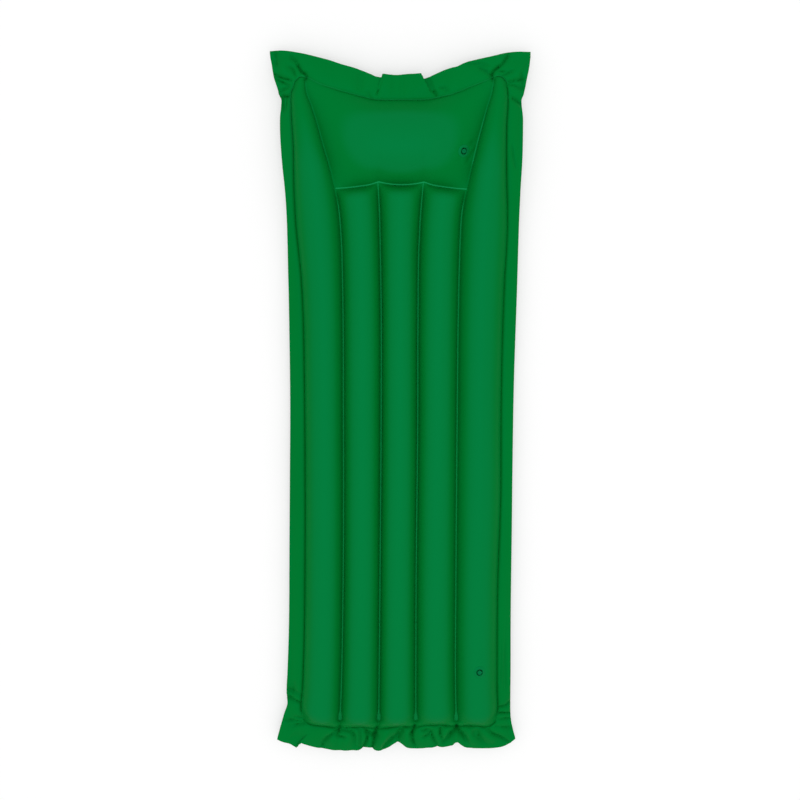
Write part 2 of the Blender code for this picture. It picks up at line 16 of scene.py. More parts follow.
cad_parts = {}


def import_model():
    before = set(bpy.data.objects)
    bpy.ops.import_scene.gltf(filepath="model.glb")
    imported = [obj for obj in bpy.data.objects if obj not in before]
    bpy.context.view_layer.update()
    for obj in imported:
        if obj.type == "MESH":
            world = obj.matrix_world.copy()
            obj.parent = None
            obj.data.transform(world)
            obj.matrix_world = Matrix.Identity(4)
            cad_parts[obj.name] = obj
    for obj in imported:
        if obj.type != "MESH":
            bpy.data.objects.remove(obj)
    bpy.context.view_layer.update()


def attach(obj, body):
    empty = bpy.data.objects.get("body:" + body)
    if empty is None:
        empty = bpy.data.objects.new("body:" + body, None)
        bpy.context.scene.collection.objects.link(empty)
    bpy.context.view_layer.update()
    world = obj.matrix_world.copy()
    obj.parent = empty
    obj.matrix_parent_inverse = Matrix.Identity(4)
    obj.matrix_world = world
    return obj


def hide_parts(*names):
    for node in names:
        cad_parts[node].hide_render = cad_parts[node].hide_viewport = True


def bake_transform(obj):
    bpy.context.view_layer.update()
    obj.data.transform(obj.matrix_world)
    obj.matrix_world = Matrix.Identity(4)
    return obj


LOG = logging.getLogger("mattress")
MM = 0.001
FIRST_COLOUR = 6
SECOND_COLOUR = 7
MIXED_COLOUR = 2


class Side(Enum):
    """Which of the two films a sheet is, as the sign of its offset from the weld's middle plane."""

    UPPER = 1
    LOWER = -1


class Slot(Enum):
    """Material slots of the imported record."""

    FILM = "film"
    VALVE = "valve"
    PLUG = "plug"


# Helpers on shader nodes


def add_node(tree: bpy.types.NodeTree, kind: str, values: dict[str, float],
             group: bpy.types.NodeTree | None = None) -> bpy.types.Node:
    """Add a node and set some of its inputs.

    Args:
        tree: The node tree that it joins.
        kind: The node's type.
        values: What its inputs are set to, by their names.
        group: The node group that it holds, where it is a group's node.

    Returns:
        The node.
    """
    node = tree.nodes.new(kind)
    if group is not None:
        node.node_tree = group
    for name, value in values.items():
        node.inputs[name].default_value = value
    return node


def read_attribute(tree: bpy.types.NodeTree, name: str) -> bpy.types.NodeSocket:
    """Add a node that reads a number kept on the mesh.

    Args:
        tree: The node tree.
        name: The attribute's name.

    Returns:
        The socket that gives the number.
    """
    node = tree.nodes.new("ShaderNodeAttribute")
    node.attribute_name = name
    return node.outputs["Fac"]


def combine(tree: bpy.types.NodeTree, operation: str, *sources: bpy.types.NodeSocket) -> bpy.types.NodeSocket:
    """Add a Math node and feed it.

    Args:
        tree: The node tree.
        operation: What the node does.
        sources: The sockets that feed it, in order.

    Returns:
        The socket that gives the result.
    """
    node = tree.nodes.new("ShaderNodeMath")
    node.operation = operation
    for source, inlet in zip(sources, node.inputs):
        tree.links.new(source, inlet)
    return node.outputs[0]


def mix_colours(tree: bpy.types.NodeTree, share: bpy.types.NodeSocket,
                first: bpy.types.NodeSocket | tuple[float, float, float],
                second: tuple[float, float, float]) -> bpy.types.NodeSocket:
    """Mix a colour into another one.

    Args:
        tree: The node tree.
        share: The socket that gives the second colour's share.
        first: The first colour, or the socket that gives it.
        second: The second colour.

    Returns:
        The socket that gives the mixed colour.
    """
    mix = tree.nodes.new("ShaderNodeMix")
    mix.data_type = "RGBA"
    tree.links.new(share, mix.inputs[0])
    if isinstance(first, bpy.types.NodeSocket):
        tree.links.new(first, mix.inputs[FIRST_COLOUR])
    else:
        mix.inputs[FIRST_COLOUR].default_value = (*first, 1.0)
    mix.inputs[SECOND_COLOUR].default_value = (*second, 1.0)
    return mix.outputs[MIXED_COLOUR]


# Finishes


@dataclass(frozen=True)
class EffectGroups:
    """Shader node groups that several finishes share."""

    fine_detail: float = 3.0
    slow_detail: float = 2.0
    slow_scale: float = 5.0

    def _start(self, name: str, inlets: tuple[str, ...], outlets: tuple[str, ...]) -> bpy.types.NodeTree:
        """Start a node group that takes and gives numbers.

        Args:
            name: The group's name.
            inlets: Names of the numbers that it takes.
            outlets: Names of the numbers that it gives.

        Returns:
            The group, with nothing in it yet.
        """
        group = bpy.data.node_groups.new(name, "ShaderNodeTree")
        for way, sockets in (("INPUT", inlets), ("OUTPUT", outlets)):
            for socket in sockets:
                group.interface.new_socket(socket, in_out=way, socket_type="NodeSocketFloat")
        return group

    def grain(self) -> bpy.types.NodeTree:
        """Fine calendered grain of rolled and moulded vinyl.

        Returns:
            A node group that puts out a height and a slow change of tone.
        """
        found = bpy.data.node_groups.get("vinyl_grain")
        if found:
            return found
        group = self._start("vinyl_grain", ("Scale",), ("Height", "Tone"))
        links = group.links
        inlet = group.nodes.new("NodeGroupInput")
        outlet = group.nodes.new("NodeGroupOutput")
        place = group.nodes.new("ShaderNodeTexCoord")
        fine = add_node(group, "ShaderNodeTexNoise", {"Detail": self.fine_detail})
        slow = add_node(group, "ShaderNodeTexNoise", {"Scale": self.slow_scale, "Detail": self.slow_detail})
        links.new(inlet.outputs["Scale"], fine.inputs["Scale"])
        for noise, result in ((fine, "Height"), (slow, "Tone")):
            links.new(place.outputs["Object"], noise.inputs["Vector"])
            links.new(noise.outputs["Fac"], outlet.inputs[result])
        return group

    def knurl(self) -> bpy.types.NodeTree:
        """Small pressed squares that a heated bar leaves in a weld.

        Returns:
            A node group that puts out a height, given the share of weld at a point.
        """
        found = bpy.data.node_groups.get("weld_knurl")
        if found:
            return found
        group = self._start("weld_knurl", ("Weld", "Pitch"), ("Height",))
        inlet = group.nodes.new("NodeGroupInput")
        outlet = group.nodes.new("NodeGroupOutput")
        place = group.nodes.new("ShaderNodeTexCoord")
        parts = group.nodes.new("ShaderNodeSeparateXYZ")
        group.links.new(place.outputs["Object"], parts.inputs["Vector"])
        turns = [combine(group, "DIVIDE", parts.outputs[axis], inlet.outputs["Pitch"]) for axis in "XY"]
        crossed = combine(group, "MULTIPLY", *(combine(group, "SINE", turn) for turn in turns))
        pressed = combine(group, "MULTIPLY", crossed, inlet.outputs["Weld"])
        group.links.new(pressed, outlet.inputs["Height"])
        return group


@dataclass(frozen=True)
class VinylFinish:
    """Satin vinyl, the same colour all through, with a fine grain. Where weld_colour is given, it also gets
    paler welds and a painted highlight on the tubes' crowns.
    """

    name: str
    slot: Slot
    colour: tuple[float, float, float]
    shade: tuple[float, float, float]
    roughness: float
    grain_scale: float
    grain_depth: float
    specular: float = 0.14
    weld_colour: tuple[float, float, float] | None = None
    # Paler, bluer colour of the tubes' crowns: a painted highlight.
    crown_highlight_colour: tuple[float, float, float] = (0.0012, 0.199, 0.0405)
    gloss_tint: tuple[float, float, float] = (0.0, 0.8, 1.0)
    tone_range: tuple[float, float] = (0.3, 0.7)
    roughness_spread: float = 0.04
    knurl_pitch: float = 0.00025
    knurl_depth: float = 0.00006
    effects: EffectGroups = field(default_factory=EffectGroups)

    def material(self) -> bpy.types.Material:
        """Build the finish's material, or give the one that is already there.

        Returns:
            A Principled material with its colour, roughness and bump from nodes.
        """
        found = bpy.data.materials.get(self.name)
        if found:
            return found
        made = bpy.data.materials.new(self.name)
        made.use_nodes = True
        tree = made.node_tree
        shader = tree.nodes["Principled BSDF"]
        shader.inputs["Specular IOR Level"].default_value = self.specular
        shader.inputs["Specular Tint"].default_value = (*self.gloss_tint, 1.0)
        grain = add_node(tree, "ShaderNodeGroup", {"Scale": self.grain_scale}, self.effects.grain())
        low, high = self.tone_range
        tone = add_node(tree, "ShaderNodeMapRange", {"From Min": low, "From Max": high})
        tree.links.new(grain.outputs["Tone"], tone.inputs["Value"])
        colour = mix_colours(tree, tone.outputs["Result"], self.shade, self.colour)
        low, high = self.roughness - self.roughness_spread, self.roughness + self.roughness_spread
        rough = add_node(tree, "ShaderNodeMapRange", {"To Min": low, "To Max": high})
        tree.links.new(grain.outputs["Height"], rough.inputs["Value"])
        tree.links.new(rough.outputs["Result"], shader.inputs["Roughness"])
        bump = add_node(tree, "ShaderNodeBump", {"Strength": 1.0, "Distance": self.grain_depth})
        tree.links.new(grain.outputs["Height"], bump.inputs["Height"])
        normal = bump.outputs["Normal"]
        if self.weld_colour is not None:
            colour, normal = self._dress_welds(tree, colour, normal)
        tree.links.new(colour, shader.inputs["Base Color"])
        tree.links.new(normal, shader.inputs["Normal"])
        return made

    def _dress_welds(self, tree: bpy.types.NodeTree, colour: bpy.types.NodeSocket,
                     normal: bpy.types.NodeSocket) -> tuple[bpy.types.NodeSocket, bpy.types.NodeSocket]:
        """Paint a highlight on the tubes' crowns, lighten the welds, and press the welding bar's squares into
        the welds.

        Args:
            tree: The material's node tree.
            colour: The socket that gives the plain film's colour.
            normal: The socket that gives the grain's normal.

        Returns:
            The sockets that give the colour and the normal with the welds.
        """
        crown_highlight, weld = (read_attribute(tree, name) for name in ("crown_highlight", "weld"))
        # Painted highlight: the crowns take the paler, bluer colour by the share kept on the mesh.
        highlighted = mix_colours(tree, crown_highlight, colour, self.crown_highlight_colour)
        welded = mix_colours(tree, weld, highlighted, self.weld_colour)
        knurl = add_node(tree, "ShaderNodeGroup", {"Pitch": self.knurl_pitch}, self.effects.knurl())
        tree.links.new(weld, knurl.inputs["Weld"])
        pressed = add_node(tree, "ShaderNodeBump", {"Distance": self.knurl_depth})
        tree.links.new(knurl.outputs["Height"], pressed.inputs["Height"])
        tree.links.new(normal, pressed.inputs["Normal"])
        return welded, pressed.outputs["Normal"]


FILM_FINISH = VinylFinish(
    "film_vinyl", Slot.FILM, colour=(0.0, 0.190, 0.0260), shade=(0.0, 0.184, 0.0245), roughness=0.46,
    grain_scale=420.0, grain_depth=0.00003, specular=0.07, weld_colour=(0.010, 0.330, 0.100))
VALVE_FINISH = VinylFinish(
    "valve_vinyl_fine", Slot.VALVE, colour=(0.0012, 0.192, 0.040), shade=(0.0010, 0.184, 0.037),
    roughness=0.42, grain_scale=900.0, grain_depth=0.00003)
PLUG_FINISH = VinylFinish(
    "plug_vinyl_fine", Slot.PLUG, colour=(0.0020, 0.165, 0.046), shade=(0.0018, 0.156, 0.043),
    roughness=0.42, grain_scale=900.0, grain_depth=0.00003)


# Lines and forms


@dataclass(frozen=True)
class Curve:
    """Smooth line through a few stations, level beyond both ends."""

    stations: tuple[tuple[float, float], ...]

    def at(self, value: np.ndarray) -> np.ndarray:
        """Size at each place.

        Args:
            value: Places along the curve.

        Returns:
            The curve's size at those places.
        """
        place, size = np.array(self.stations).T
        slope = np.gradient(size, place)
        value = np.clip(value, place[0], place[-1])
        k = np.clip(np.searchsorted(place, value, side="right") - 1, 0, len(place) - 2)
        span = place[k + 1] - place[k]
        t = (value - place[k]) / span
        before = (1 + 2 * t) * (1 - t) ** 2 * size[k] + t * (1 - t) ** 2 * span * slope[k]
        after = t * t * (3 - 2 * t) * size[k + 1] + t * t * (t - 1) * span * slope[k + 1]
        return before + after


def smooth_step(t: np.ndarray) -> np.ndarray:
    """Ease from 0 to 1 with level ends."""
    t = np.clip(t, 0.0, 1.0)
    return t * t * (3 - 2 * t)


@dataclass(frozen=True)
class Pattern:
    """Lines on which the films are cut and welded, seen from above.

    Lines that run along the mattress give the distance from its middle for a place along it, the left one and
    then the right one. Lines that run across give the place along it.
    """

    inner_seams: tuple[Curve, Curve] = (
        Curve(((-0.79, 0.0495), (-0.45, 0.0478), (0.00, 0.0465), (0.25, 0.0472), (0.43, 0.0505),
               (0.50, 0.0525), (0.57, 0.0565), (0.763, 0.0700), (0.83, 0.0480))),
        Curve(((-0.79, 0.0455), (-0.45, 0.0435), (0.00, 0.0442), (0.25, 0.0428), (0.43, 0.0440),
               (0.50, 0.0475), (0.57, 0.0530), (0.763, 0.0700), (0.83, 0.0480))))
    outer_seams: tuple[Curve, Curve] = (
        Curve(((-0.82, 0.1500), (-0.70, 0.1455), (-0.45, 0.1410), (0.00, 0.1398), (0.30, 0.1412),
               (0.43, 0.1445), (0.50, 0.1500), (0.555, 0.1595), (0.60, 0.1700), (0.66, 0.1880),
               (0.70, 0.1990), (0.74, 0.2115), (0.785, 0.2270), (0.81, 0.2280), (0.87, 0.2380))),
        Curve(((-0.82, 0.1505), (-0.70, 0.1463), (-0.45, 0.1440), (0.00, 0.1418), (0.30, 0.1415),
               (0.43, 0.1435), (0.50, 0.1470), (0.556, 0.1570), (0.60, 0.1665), (0.66, 0.1802),
               (0.70, 0.1905), (0.74, 0.2010), (0.78, 0.2125), (0.815, 0.2190), (0.87, 0.2380))))
    side_welds: tuple[Curve, Curve] = (
        Curve(((-0.88, 0.2680), (-0.826, 0.2490), (-0.800, 0.2430), (-0.770, 0.2500), (-0.71, 0.2465),
               (-0.60, 0.2420), (-0.40, 0.2385), (-0.10, 0.2368), (0.10, 0.2375), (0.26, 0.2400),
               (0.36, 0.2455), (0.45, 0.2550), (0.55, 0.2595), (0.65, 0.2600), (0.74, 0.2645),
               (0.775, 0.2640), (0.800, 0.2560), (0.83, 0.2640), (0.88, 0.2850))),
        Curve(((-0.88, 0.2700), (-0.826, 0.2560), (-0.800, 0.2510), (-0.770, 0.2560), (-0.71, 0.2545),
               (-0.60, 0.2525), (-0.44, 0.2510), (-0.20, 0.2548), (0.01, 0.2517), (0.26, 0.2527),
               (0.36, 0.2552), (0.44, 0.2590), (0.50, 0.2580), (0.60, 0.2530), (0.70, 0.2515),
               (0.775, 0.2530), (0.803, 0.2500), (0.83, 0.2580), (0.88, 0.2850))))
    edges: tuple[Curve, Curve] = (
        Curve(((-0.87, 0.3150), (-0.850, 0.3115), (-0.824, 0.3050), (-0.800, 0.2985), (-0.780, 0.2930),
               (-0.748, 0.2838), (-0.736, 0.2852), (-0.662, 0.2830), (-0.582, 0.2799), (-0.269, 0.2752),
               (0.036, 0.2716), (0.331, 0.2739), (0.548, 0.2794), (0.619, 0.2861), (0.689, 0.2898),
               (0.717, 0.2895), (0.748, 0.2865), (0.760, 0.2862), (0.772, 0.2920), (0.785, 0.2950),
               (0.810, 0.3030), (0.838, 0.3080), (0.866, 0.3125), (0.885, 0.3125))),
        Curve(((-0.87, 0.3060), (-0.841, 0.3020), (-0.819, 0.2960), (-0.790, 0.2900), (-0.770, 0.2885),
               (-0.733, 0.2875), (-0.658, 0.2867), (-0.578, 0.2853), (-0.265, 0.2823), (0.040, 0.2804),
               (0.335, 0.2839), (0.552, 0.2867), (0.623, 0.2893), (0.693, 0.2895), (0.721, 0.2890),
               (0.750, 0.2855), (0.765, 0.2850), (0.773, 0.2885), (0.786, 0.2915), (0.814, 0.2965),
               (0.842, 0.3015), (0.870, 0.3035), (0.885, 0.3030))))
    head_weld: Curve = Curve(((-0.31, 0.8120), (-0.254, 0.8035), (-0.241, 0.8140), (-0.226, 0.8125),
                              (-0.200, 0.8000), (-0.160, 0.7865), (-0.120, 0.7755), (-0.095, 0.7690),
                              (-0.070, 0.7635), (0.0, 0.7620), (0.070, 0.7645), (0.095, 0.7700),
                              (0.120, 0.7760), (0.160, 0.7920), (0.200, 0.8080), (0.222, 0.8180),
                              (0.236, 0.8170), (0.250, 0.8035), (0.31, 0.8150)))
    head_edge: Curve = Curve(((-0.315, 0.8715), (-0.288, 0.8735), (-0.262, 0.8715), (-0.230, 0.8660),
                              (-0.200, 0.8590), (-0.170, 0.8515), (-0.147, 0.8440), (-0.104, 0.8320),
                              (-0.074, 0.8205), (-0.060, 0.8150), (-0.0475, 0.8205), (-0.030, 0.8195),
                              (-0.010, 0.8188), (0.006, 0.8205), (0.030, 0.8215), (0.0485, 0.8215),
                              (0.062, 0.8140), (0.072, 0.8180), (0.095, 0.8285), (0.118, 0.8365),
                              (0.132, 0.8395), (0.142, 0.8450), (0.155, 0.8500), (0.180, 0.8562),
                              (0.222, 0.8655), (0.246, 0.8715), (0.265, 0.8735), (0.305, 0.8738)))
    foot_weld: Curve = Curve(((-0.31, -0.8100), (-0.246, -0.7920), (-0.240, -0.7995), (-0.228, -0.8070),
                              (-0.205, -0.8110), (-0.175, -0.8140), (-0.150, -0.8190), (-0.125, -0.8170),
                              (-0.098, -0.8145), (-0.075, -0.8170), (-0.055, -0.8205), (-0.035, -0.8165),
                              (0.0, -0.8130), (0.025, -0.8130), (0.045, -0.8145), (0.065, -0.8105),
                              (0.100, -0.8080), (0.130, -0.8095), (0.152, -0.8140), (0.172, -0.8095),
                              (0.205, -0.8100), (0.230, -0.8115), (0.242, -0.8060), (0.252, -0.7960),
                              (0.31, -0.8160)))
    foot_edge: Curve = Curve(((-0.315, -0.8480), (-0.300, -0.8545), (-0.284, -0.8590),
                              (-0.2665, -0.8645), (-0.252, -0.8575), (-0.240, -0.8615),
                              (-0.225, -0.8670), (-0.205, -0.8720), (-0.180, -0.8745), (-0.150, -0.8770),
                              (-0.120, -0.8775), (-0.098, -0.8765), (-0.088, -0.8720), (-0.080, -0.8700),
                              (-0.072, -0.8715), (-0.060, -0.8775), (-0.048, -0.8785), (-0.036, -0.8755),
                              (-0.022, -0.8680), (-0.010, -0.8590), (0.002, -0.8548), (0.010, -0.8580),
                              (0.020, -0.8655), (0.034, -0.8710), (0.048, -0.8720), (0.070, -0.8690),
                              (0.086, -0.8695), (0.102, -0.8670), (0.118, -0.8675), (0.134, -0.8640),
                              (0.143, -0.8600), (0.148, -0.8525), (0.153, -0.8520), (0.162, -0.8600),
                              (0.172, -0.8672), (0.190, -0.8690), (0.252, -0.8685), (0.270, -0.8650),
                              (0.288, -0.8560), (0.304, -0.8430)))
    pillow_ends: Curve = Curve(((0.0545, 0.569), (0.075, 0.5625), (0.10, 0.5585), (0.140, 0.5540),
                                (0.158, 0.5530), (0.26, 0.5530)))
    seam_half_width: Curve = Curve(((-0.8160, 0.0007), (-0.7955, 0.0007), (-0.7930, 0.0036),
                                    (-0.7870, 0.0044), (-0.7790, 0.0038), (-0.7730, 0.0024),
                                    (-0.7650, 0.0018)))
    pillow_dip: float = 0.0065
    weld_half_width: float = 0.0018
    seams_end: float = -0.7935

    def away(self, line: int, x: np.ndarray, y: np.ndarray) -> np.ndarray:
        """Distance from the middle of a line that runs along the mattress, on the side of each point.

        Args:
            line: 1 for the inner seams, 2 for the outer ones, 3 for the side welds and 4 for the edges.
            x: Places across the mattress, of which only the side counts.
            y: Places along the mattress.

        Returns:
            The line's distance from the middle at each point.
        """
        left, right = (self.inner_seams, self.outer_seams, self.side_welds, self.edges)[line - 1]
        return np.where(x < 0, left.at(y), right.at(y))

    def along(self, line: int, y: np.ndarray) -> np.ndarray:
        """Place across the mattress of a line that runs along it, with a number below 0 on the left."""
        return math.copysign(1, line) * self.away(abs(line), np.full_like(y, line), y)

    def pillow_weld(self, x: np.ndarray) -> np.ndarray:
        """Weld below the pillow: three scallops with their peaks at the inner seams.

        Args:
            x: Places across the mattress.

        Returns:
            The weld's place along the mattress at each of them.
        """
        x = np.abs(x)
        peak, top = self.pillow_ends.stations[0]
        middle = top - self.pillow_dip * (1 - (np.minimum(x, peak) / peak) ** 2)
        return np.where(x < peak, middle, self.pillow_ends.at(x))

    def across(self, line: str, x: np.ndarray) -> np.ndarray:
        """Place along the mattress of a line that runs across it.

        Args:
            line: The line's name.
            x: Places across the mattress.

        Returns:
            The line's place along the mattress at each of them.
        """
        return self.pillow_weld(x) if line == "pillow_weld" else getattr(self, line).at(x)


@dataclass(frozen=True)
class Chambers:
    """Air chambers between the welds: five tubes and the pillow."""

    pattern: Pattern
    tube_rise: float = 0.035
    fullest_tube: float = 0.84
    pillow_rise: float = 0.049
    pillow_fullness: float = 0.060
    foot_round: float = 0.044
    head_round: float = 0.030
    tip_round: float = 0.030
    seam_stops_short: float = 0.018
    passage_fill: float = 0.08
    level_rises: tuple[float, float] = (0.42, 0.66)
    levels: tuple[float, float] = (0.035, 0.049)

    def level(self, y: np.ndarray) -> np.ndarray:
        """Height of the welds above the ground.

        Args:
            y: Places along the mattress.

        Returns:
            The height at each place.
        """
        start, end = self.level_rises
        low, high = self.levels
        return low + (high - low) * smooth_step((y - start) / (end - start))

    def _end_fill(self, distance: np.ndarray, length: float) -> np.ndarray:
        """How full a tube is at a distance from the weld that closes it."""
        return 1 - (1 - np.clip(distance / length, 0.0, 1.0)) ** 2

    def _tube(self, place: np.ndarray, y: np.ndarray, span: tuple[np.ndarray, np.ndarray],
              ends: tuple[np.ndarray, np.ndarray], head_round: float) -> np.ndarray:
        """Rise of a round tube that closes towards its ends.

        Args:
            place: Places across the tube.
            y: Places along the mattress.
            span: The tube's two side lines.
            ends: The welds that close the tube's foot and head end.
            head_round: Length over which the head end closes.

        Returns:
            The film's rise over the welds' level.
        """
        half = (span[1] - span[0]) / 2 - self.pattern.seam_half_width.at(y)
        across = np.clip((place - (span[0] + span[1]) / 2) / half, -1.0, 1.0)
        rise = np.minimum(self.tube_rise, self.fullest_tube * half)
        flatness = (half ** 2 - rise ** 2) / (2 * rise)
        from_foot = y - ends[0] - self.pattern.weld_half_width
        from_head = ends[1] - y - self.pattern.weld_half_width
        passage = np.clip(from_foot / self.seam_stops_short, 0.0, 1.0)
        section = 1 - across ** 2 * (1 - self.passage_fill * 4 * passage * (1 - passage))
        fill = section * self._end_fill(from_foot, self.foot_round) * self._end_fill(from_head, head_round)
        return np.sqrt(flatness ** 2 + half ** 2 * fill) - flatness

    def _pillow(self, x: np.ndarray, y: np.ndarray, outer: np.ndarray) -> np.ndarray:
        """Rise of the film over the pillow.

        Args:
            x: Places across the mattress.
            y: Places along the mattress.
            outer: The outer seam's distance from the middle.

        Returns:
            The film's rise over the welds' level.
        """
        lines = self.pattern
        low = lines.pillow_weld(x) + lines.weld_half_width
        high = lines.across("head_weld", x) - lines.weld_half_width
        across = np.clip(np.abs(x) / (outer - lines.weld_half_width), 0.0, 1.0)
        along = np.clip((2 * y - low - high) / (high - low), -1.0, 1.0)
        lift = self.pillow_rise ** 2 + 2 * self.pillow_rise * self.pillow_fullness
        fill = (1 - across ** 2) * (1 - along ** 2)
        return np.sqrt(self.pillow_fullness ** 2 + lift * fill) - self.pillow_fullness

    def rise(self, x: np.ndarray, y: np.ndarray) -> np.ndarray:
        """Rise of a film over the welds' level, nothing on the welds and beyond them.

        Args:
            x: Places across the mattress.
            y: Places along the mattress.

        Returns:
            The rise at each place.
        """
        lines = self.pattern
        distance = np.abs(x)
        inner, outer, weld = (lines.away(line, x, y) for line in (1, 2, 3))
        foot, pillow, head = (lines.across(name, x) for name in ("foot_weld", "pillow_weld", "head_weld"))
        middle_span = (lines.along(-1, y), lines.along(1, y))
        centre = self._tube(x, y, middle_span, (foot, pillow), self.head_round)
        middle = self._tube(distance, y, (inner, outer), (foot, pillow), self.head_round)
        side = self._tube(distance, y, (outer, weld), (foot, head), self.tip_round)
        between = np.where(y > pillow, self._pillow(x, y, outer), np.where(distance < inner, centre, middle))
        rise = np.where(distance < outer, between, side)
        inside = (distance < weld) & (y > foot) & (y < head)
        return np.where(inside, rise, 0.0)


@dataclass(frozen=True)
class Fold:
    """Crease or ridge along a line of points, in millimetres. A ridge has a depth below 0."""

    path: tuple[tuple[float, float], ...]
    depth: float
    width: float
    start: float = 0.7
    end: float = 0.7
    softness: float = 0.3

    def drop(self, x: np.ndarray, y: np.ndarray) -> np.ndarray:
        """How far the fold lowers each point of the sheet.

        Args:
            x: Places across the mattress.
            y: Places along the mattress.

        Returns:
            The drop at each place.
        """
        points = np.array(self.path) * MM
        steps = np.diff(points, axis=0)
        lengths = np.linalg.norm(steps, axis=1)
        walked = np.concatenate([[0.0], np.cumsum(lengths)]) / lengths.sum()
        nearest = np.full(x.shape, np.inf)
        place = np.zeros(x.shape)
        for k, (step, length) in enumerate(zip(steps, lengths)):
            t = np.clip(((x - points[k, 0]) * step[0] + (y - points[k, 1]) * step[1]) / length ** 2, 0.0, 1.0)
            distance = np.hypot(x - points[k, 0] - t * step[0], y - points[k, 1] - t * step[1])
            place = np.where(distance < nearest, walked[k] + t * (walked[k + 1] - walked[k]), place)
            nearest = np.minimum(nearest, distance)
        reach = nearest / (self.width * MM)
        crease = np.exp(self.softness - np.sqrt(reach ** 2 * 2 + self.softness ** 2))
        shape = np.exp(-reach ** 2) if self.depth < 0 else crease
        middle = 1 - (2 * place - 1) ** 2
        ends = self.start + (self.end - self.start) * place
        return self.depth * MM * shape * (ends + (1 - ends) * middle)


@dataclass(frozen=True)
class Pleat:
    """Double fold that lays one side of the sheet over the other, in millimetres, from the weld to the edge.

    The side on the right of the way from start to end lies on top, unless flipped.
    """

    start: tuple[float, float]
    end: tuple[float, float]
    depth: float
    lift: float
    width: float = 13.0
    turn: float = 4.5
    reach: float = 30.0
    flipped: bool = False
    opens_from: float = 0.1
    opens_to: float = 0.7
    layer: float = 1.5
    edge_drop: float = 0.6
    edge_round: float = 1.2
    tuck: float = 0.8
    slant: float = 1.1
    lower_turn: float = 1.0
    lower_lift: float = 0.3

    def shift(self, x: np.ndarray, y: np.ndarray) -> tuple[np.ndarray, np.ndarray, np.ndarray]:
        """How far the pleat moves each point of the sheet.

        Args:
            x: Places across the mattress.
            y: Places along the mattress.

        Returns:
            The moves across, along and up.
        """
        start, end = np.array(self.start), np.array(self.end)
        length = float(np.linalg.norm(end - start))
        ahead = (end - start) / length
        away = np.array((-ahead[1], ahead[0])) * (-1 if self.flipped else 1)
        t = ((x / MM - start[0]) * ahead[0] + (y / MM - start[1]) * ahead[1]) / length
        under = (x / MM - start[0]) * away[0] + (y / MM - start[1]) * away[1]
        fold = smooth_step((t - self.opens_from) / (self.opens_to - self.opens_from))
        top = 2 * self.layer + self.lift
        half_way = -self.depth * fold + self.turn * (1 - fold)
        back = under / self.turn
        forth = (under - self.turn) / (self.width - self.turn)
        place = np.where(under < self.turn, back * half_way, half_way + forth * (self.width - half_way))
        folded = (under > 0) & (under < self.width)
        sideways = np.where(folded, place - under, 0.0)
        over = np.minimum(under, 0.0)
        flap = top * np.exp(-(over / self.reach) ** 2) - self.edge_drop * np.exp(over / self.edge_round)
        inside = np.interp(under, (0.0, self.tuck, self.turn, self.turn + self.lower_turn, self.width),
                           (top - self.edge_drop, top - self.layer, top - self.layer * self.slant,
                            self.lower_lift, 0.0))
        height = np.where(under <= 0, flap, inside)
        moved = sideways * MM * (fold > 0)
        return moved * away[0], moved * away[1], height * fold * MM


HEAD_PLEATS = (
    Pleat((-66, 762), (-46.5, 820), depth=11, lift=2.6),
    Pleat((76, 762), (46, 822), depth=13, lift=6.0, flipped=True),
)

FOOT_PLEATS = (
    Pleat((-214, -812), (-264, -866), depth=6, lift=1.0, width=11, turn=4, reach=22, flipped=True),
)

HEAD_FOLDS = (
    Fold(((-99, 832), (-98, 785)), 5.1, 8),
    Fold(((-82, 780), (-75, 764)), 4.0, 5),
    Fold(((-21, 766), (-19, 822)), 2.5, 5),
    Fold(((64, 812), (82, 768)), 6.0, 3.0, 0.9, 0.8),
    Fold(((-47, 812), (-60, 772)), 4.6, 3.0, 0.9, 0.8),
    Fold(((1, 764), (2, 822)), 3.0, 6),
    Fold(((78, 782), (82, 773)), 5.1, 3.5),
    Fold(((90, 790), (101, 789), (108, 779)), 5.5, 4),
    Fold(((-231, 803), (-226, 812), (-229, 819), (-238, 825), (-246, 838)), 11.8, 4.5, 0.5, 0.5),
    Fold(((-246, 838), (-252, 850), (-267, 862)), 6.6, 6, 0.9, 0.3),
    Fold(((-270, 838), (-258, 830), (-252, 815)), 6.6, 5, 0.4, 0.7),
    Fold(((-303, 820), (-290, 812), (-262, 805)), 8.6, 4),
    Fold(((-296, 808), (-270, 794)), 7.6, 4),
    Fold(((-294, 776), (-268, 790)), 8.0, 5),
    Fold(((-292, 767), (-266, 768)), 9.0, 4.5),
    Fold(((-281, 770), (-281, 728)), 8.2, 5, 0.7, 0.3),
    Fold(((-272, 766), (-275, 735)), 6.1, 4, 0.7, 0.2),
    Fold(((-299, 868), (-297, 836)), 6.6, 7, 0.8, 0.2),
    Fold(((219, 800), (215, 812), (213, 822), (218, 831), (228, 838)), 11.8, 4.5, 0.4, 0.6),
    Fold(((228, 838), (238, 846), (249, 862), (253, 873)), 7.8, 5, 0.9, 0.4),
    Fold(((150, 846), (182, 847), (203, 841)), 6.1, 4.5, 0.3, 0.5),
    Fold(((178, 841), (196, 830), (209, 821)), 7.1, 4.5, 0.3, 0.9),
    Fold(((131, 838), (154, 849), (205, 852)), -3.6, 6, 0.9, 0.2),
    Fold(((238, 818), (260, 829)), 5.5, 4),
    Fold(((230, 829), (244, 827)), 6.1, 4),
    Fold(((253, 803), (266, 807), (288, 811)), 7.6, 4),
    Fold(((254, 799), (288, 789)), 6.1, 4.5),
    Fold(((259, 768), (272, 761), (284, 752)), 9.8, 4.5, 0.5, 0.9),
    Fold(((283, 824), (286, 790)), 5.1, 4),
    Fold(((262, 656), (266, 634), (273, 605)), 4.6, 4),
    Fold(((-300, 800), (-270, 865)), -3.9, 16),
    Fold(((282, 800), (276, 862)), -3.9, 16),
    Fold(((-175, 800), (-200, 858)), -3.6, 26),
    Fold(((-125, 782), (-135, 838)), -3.0, 18),
    Fold(((122, 780), (128, 838)), -3.0, 18),
)

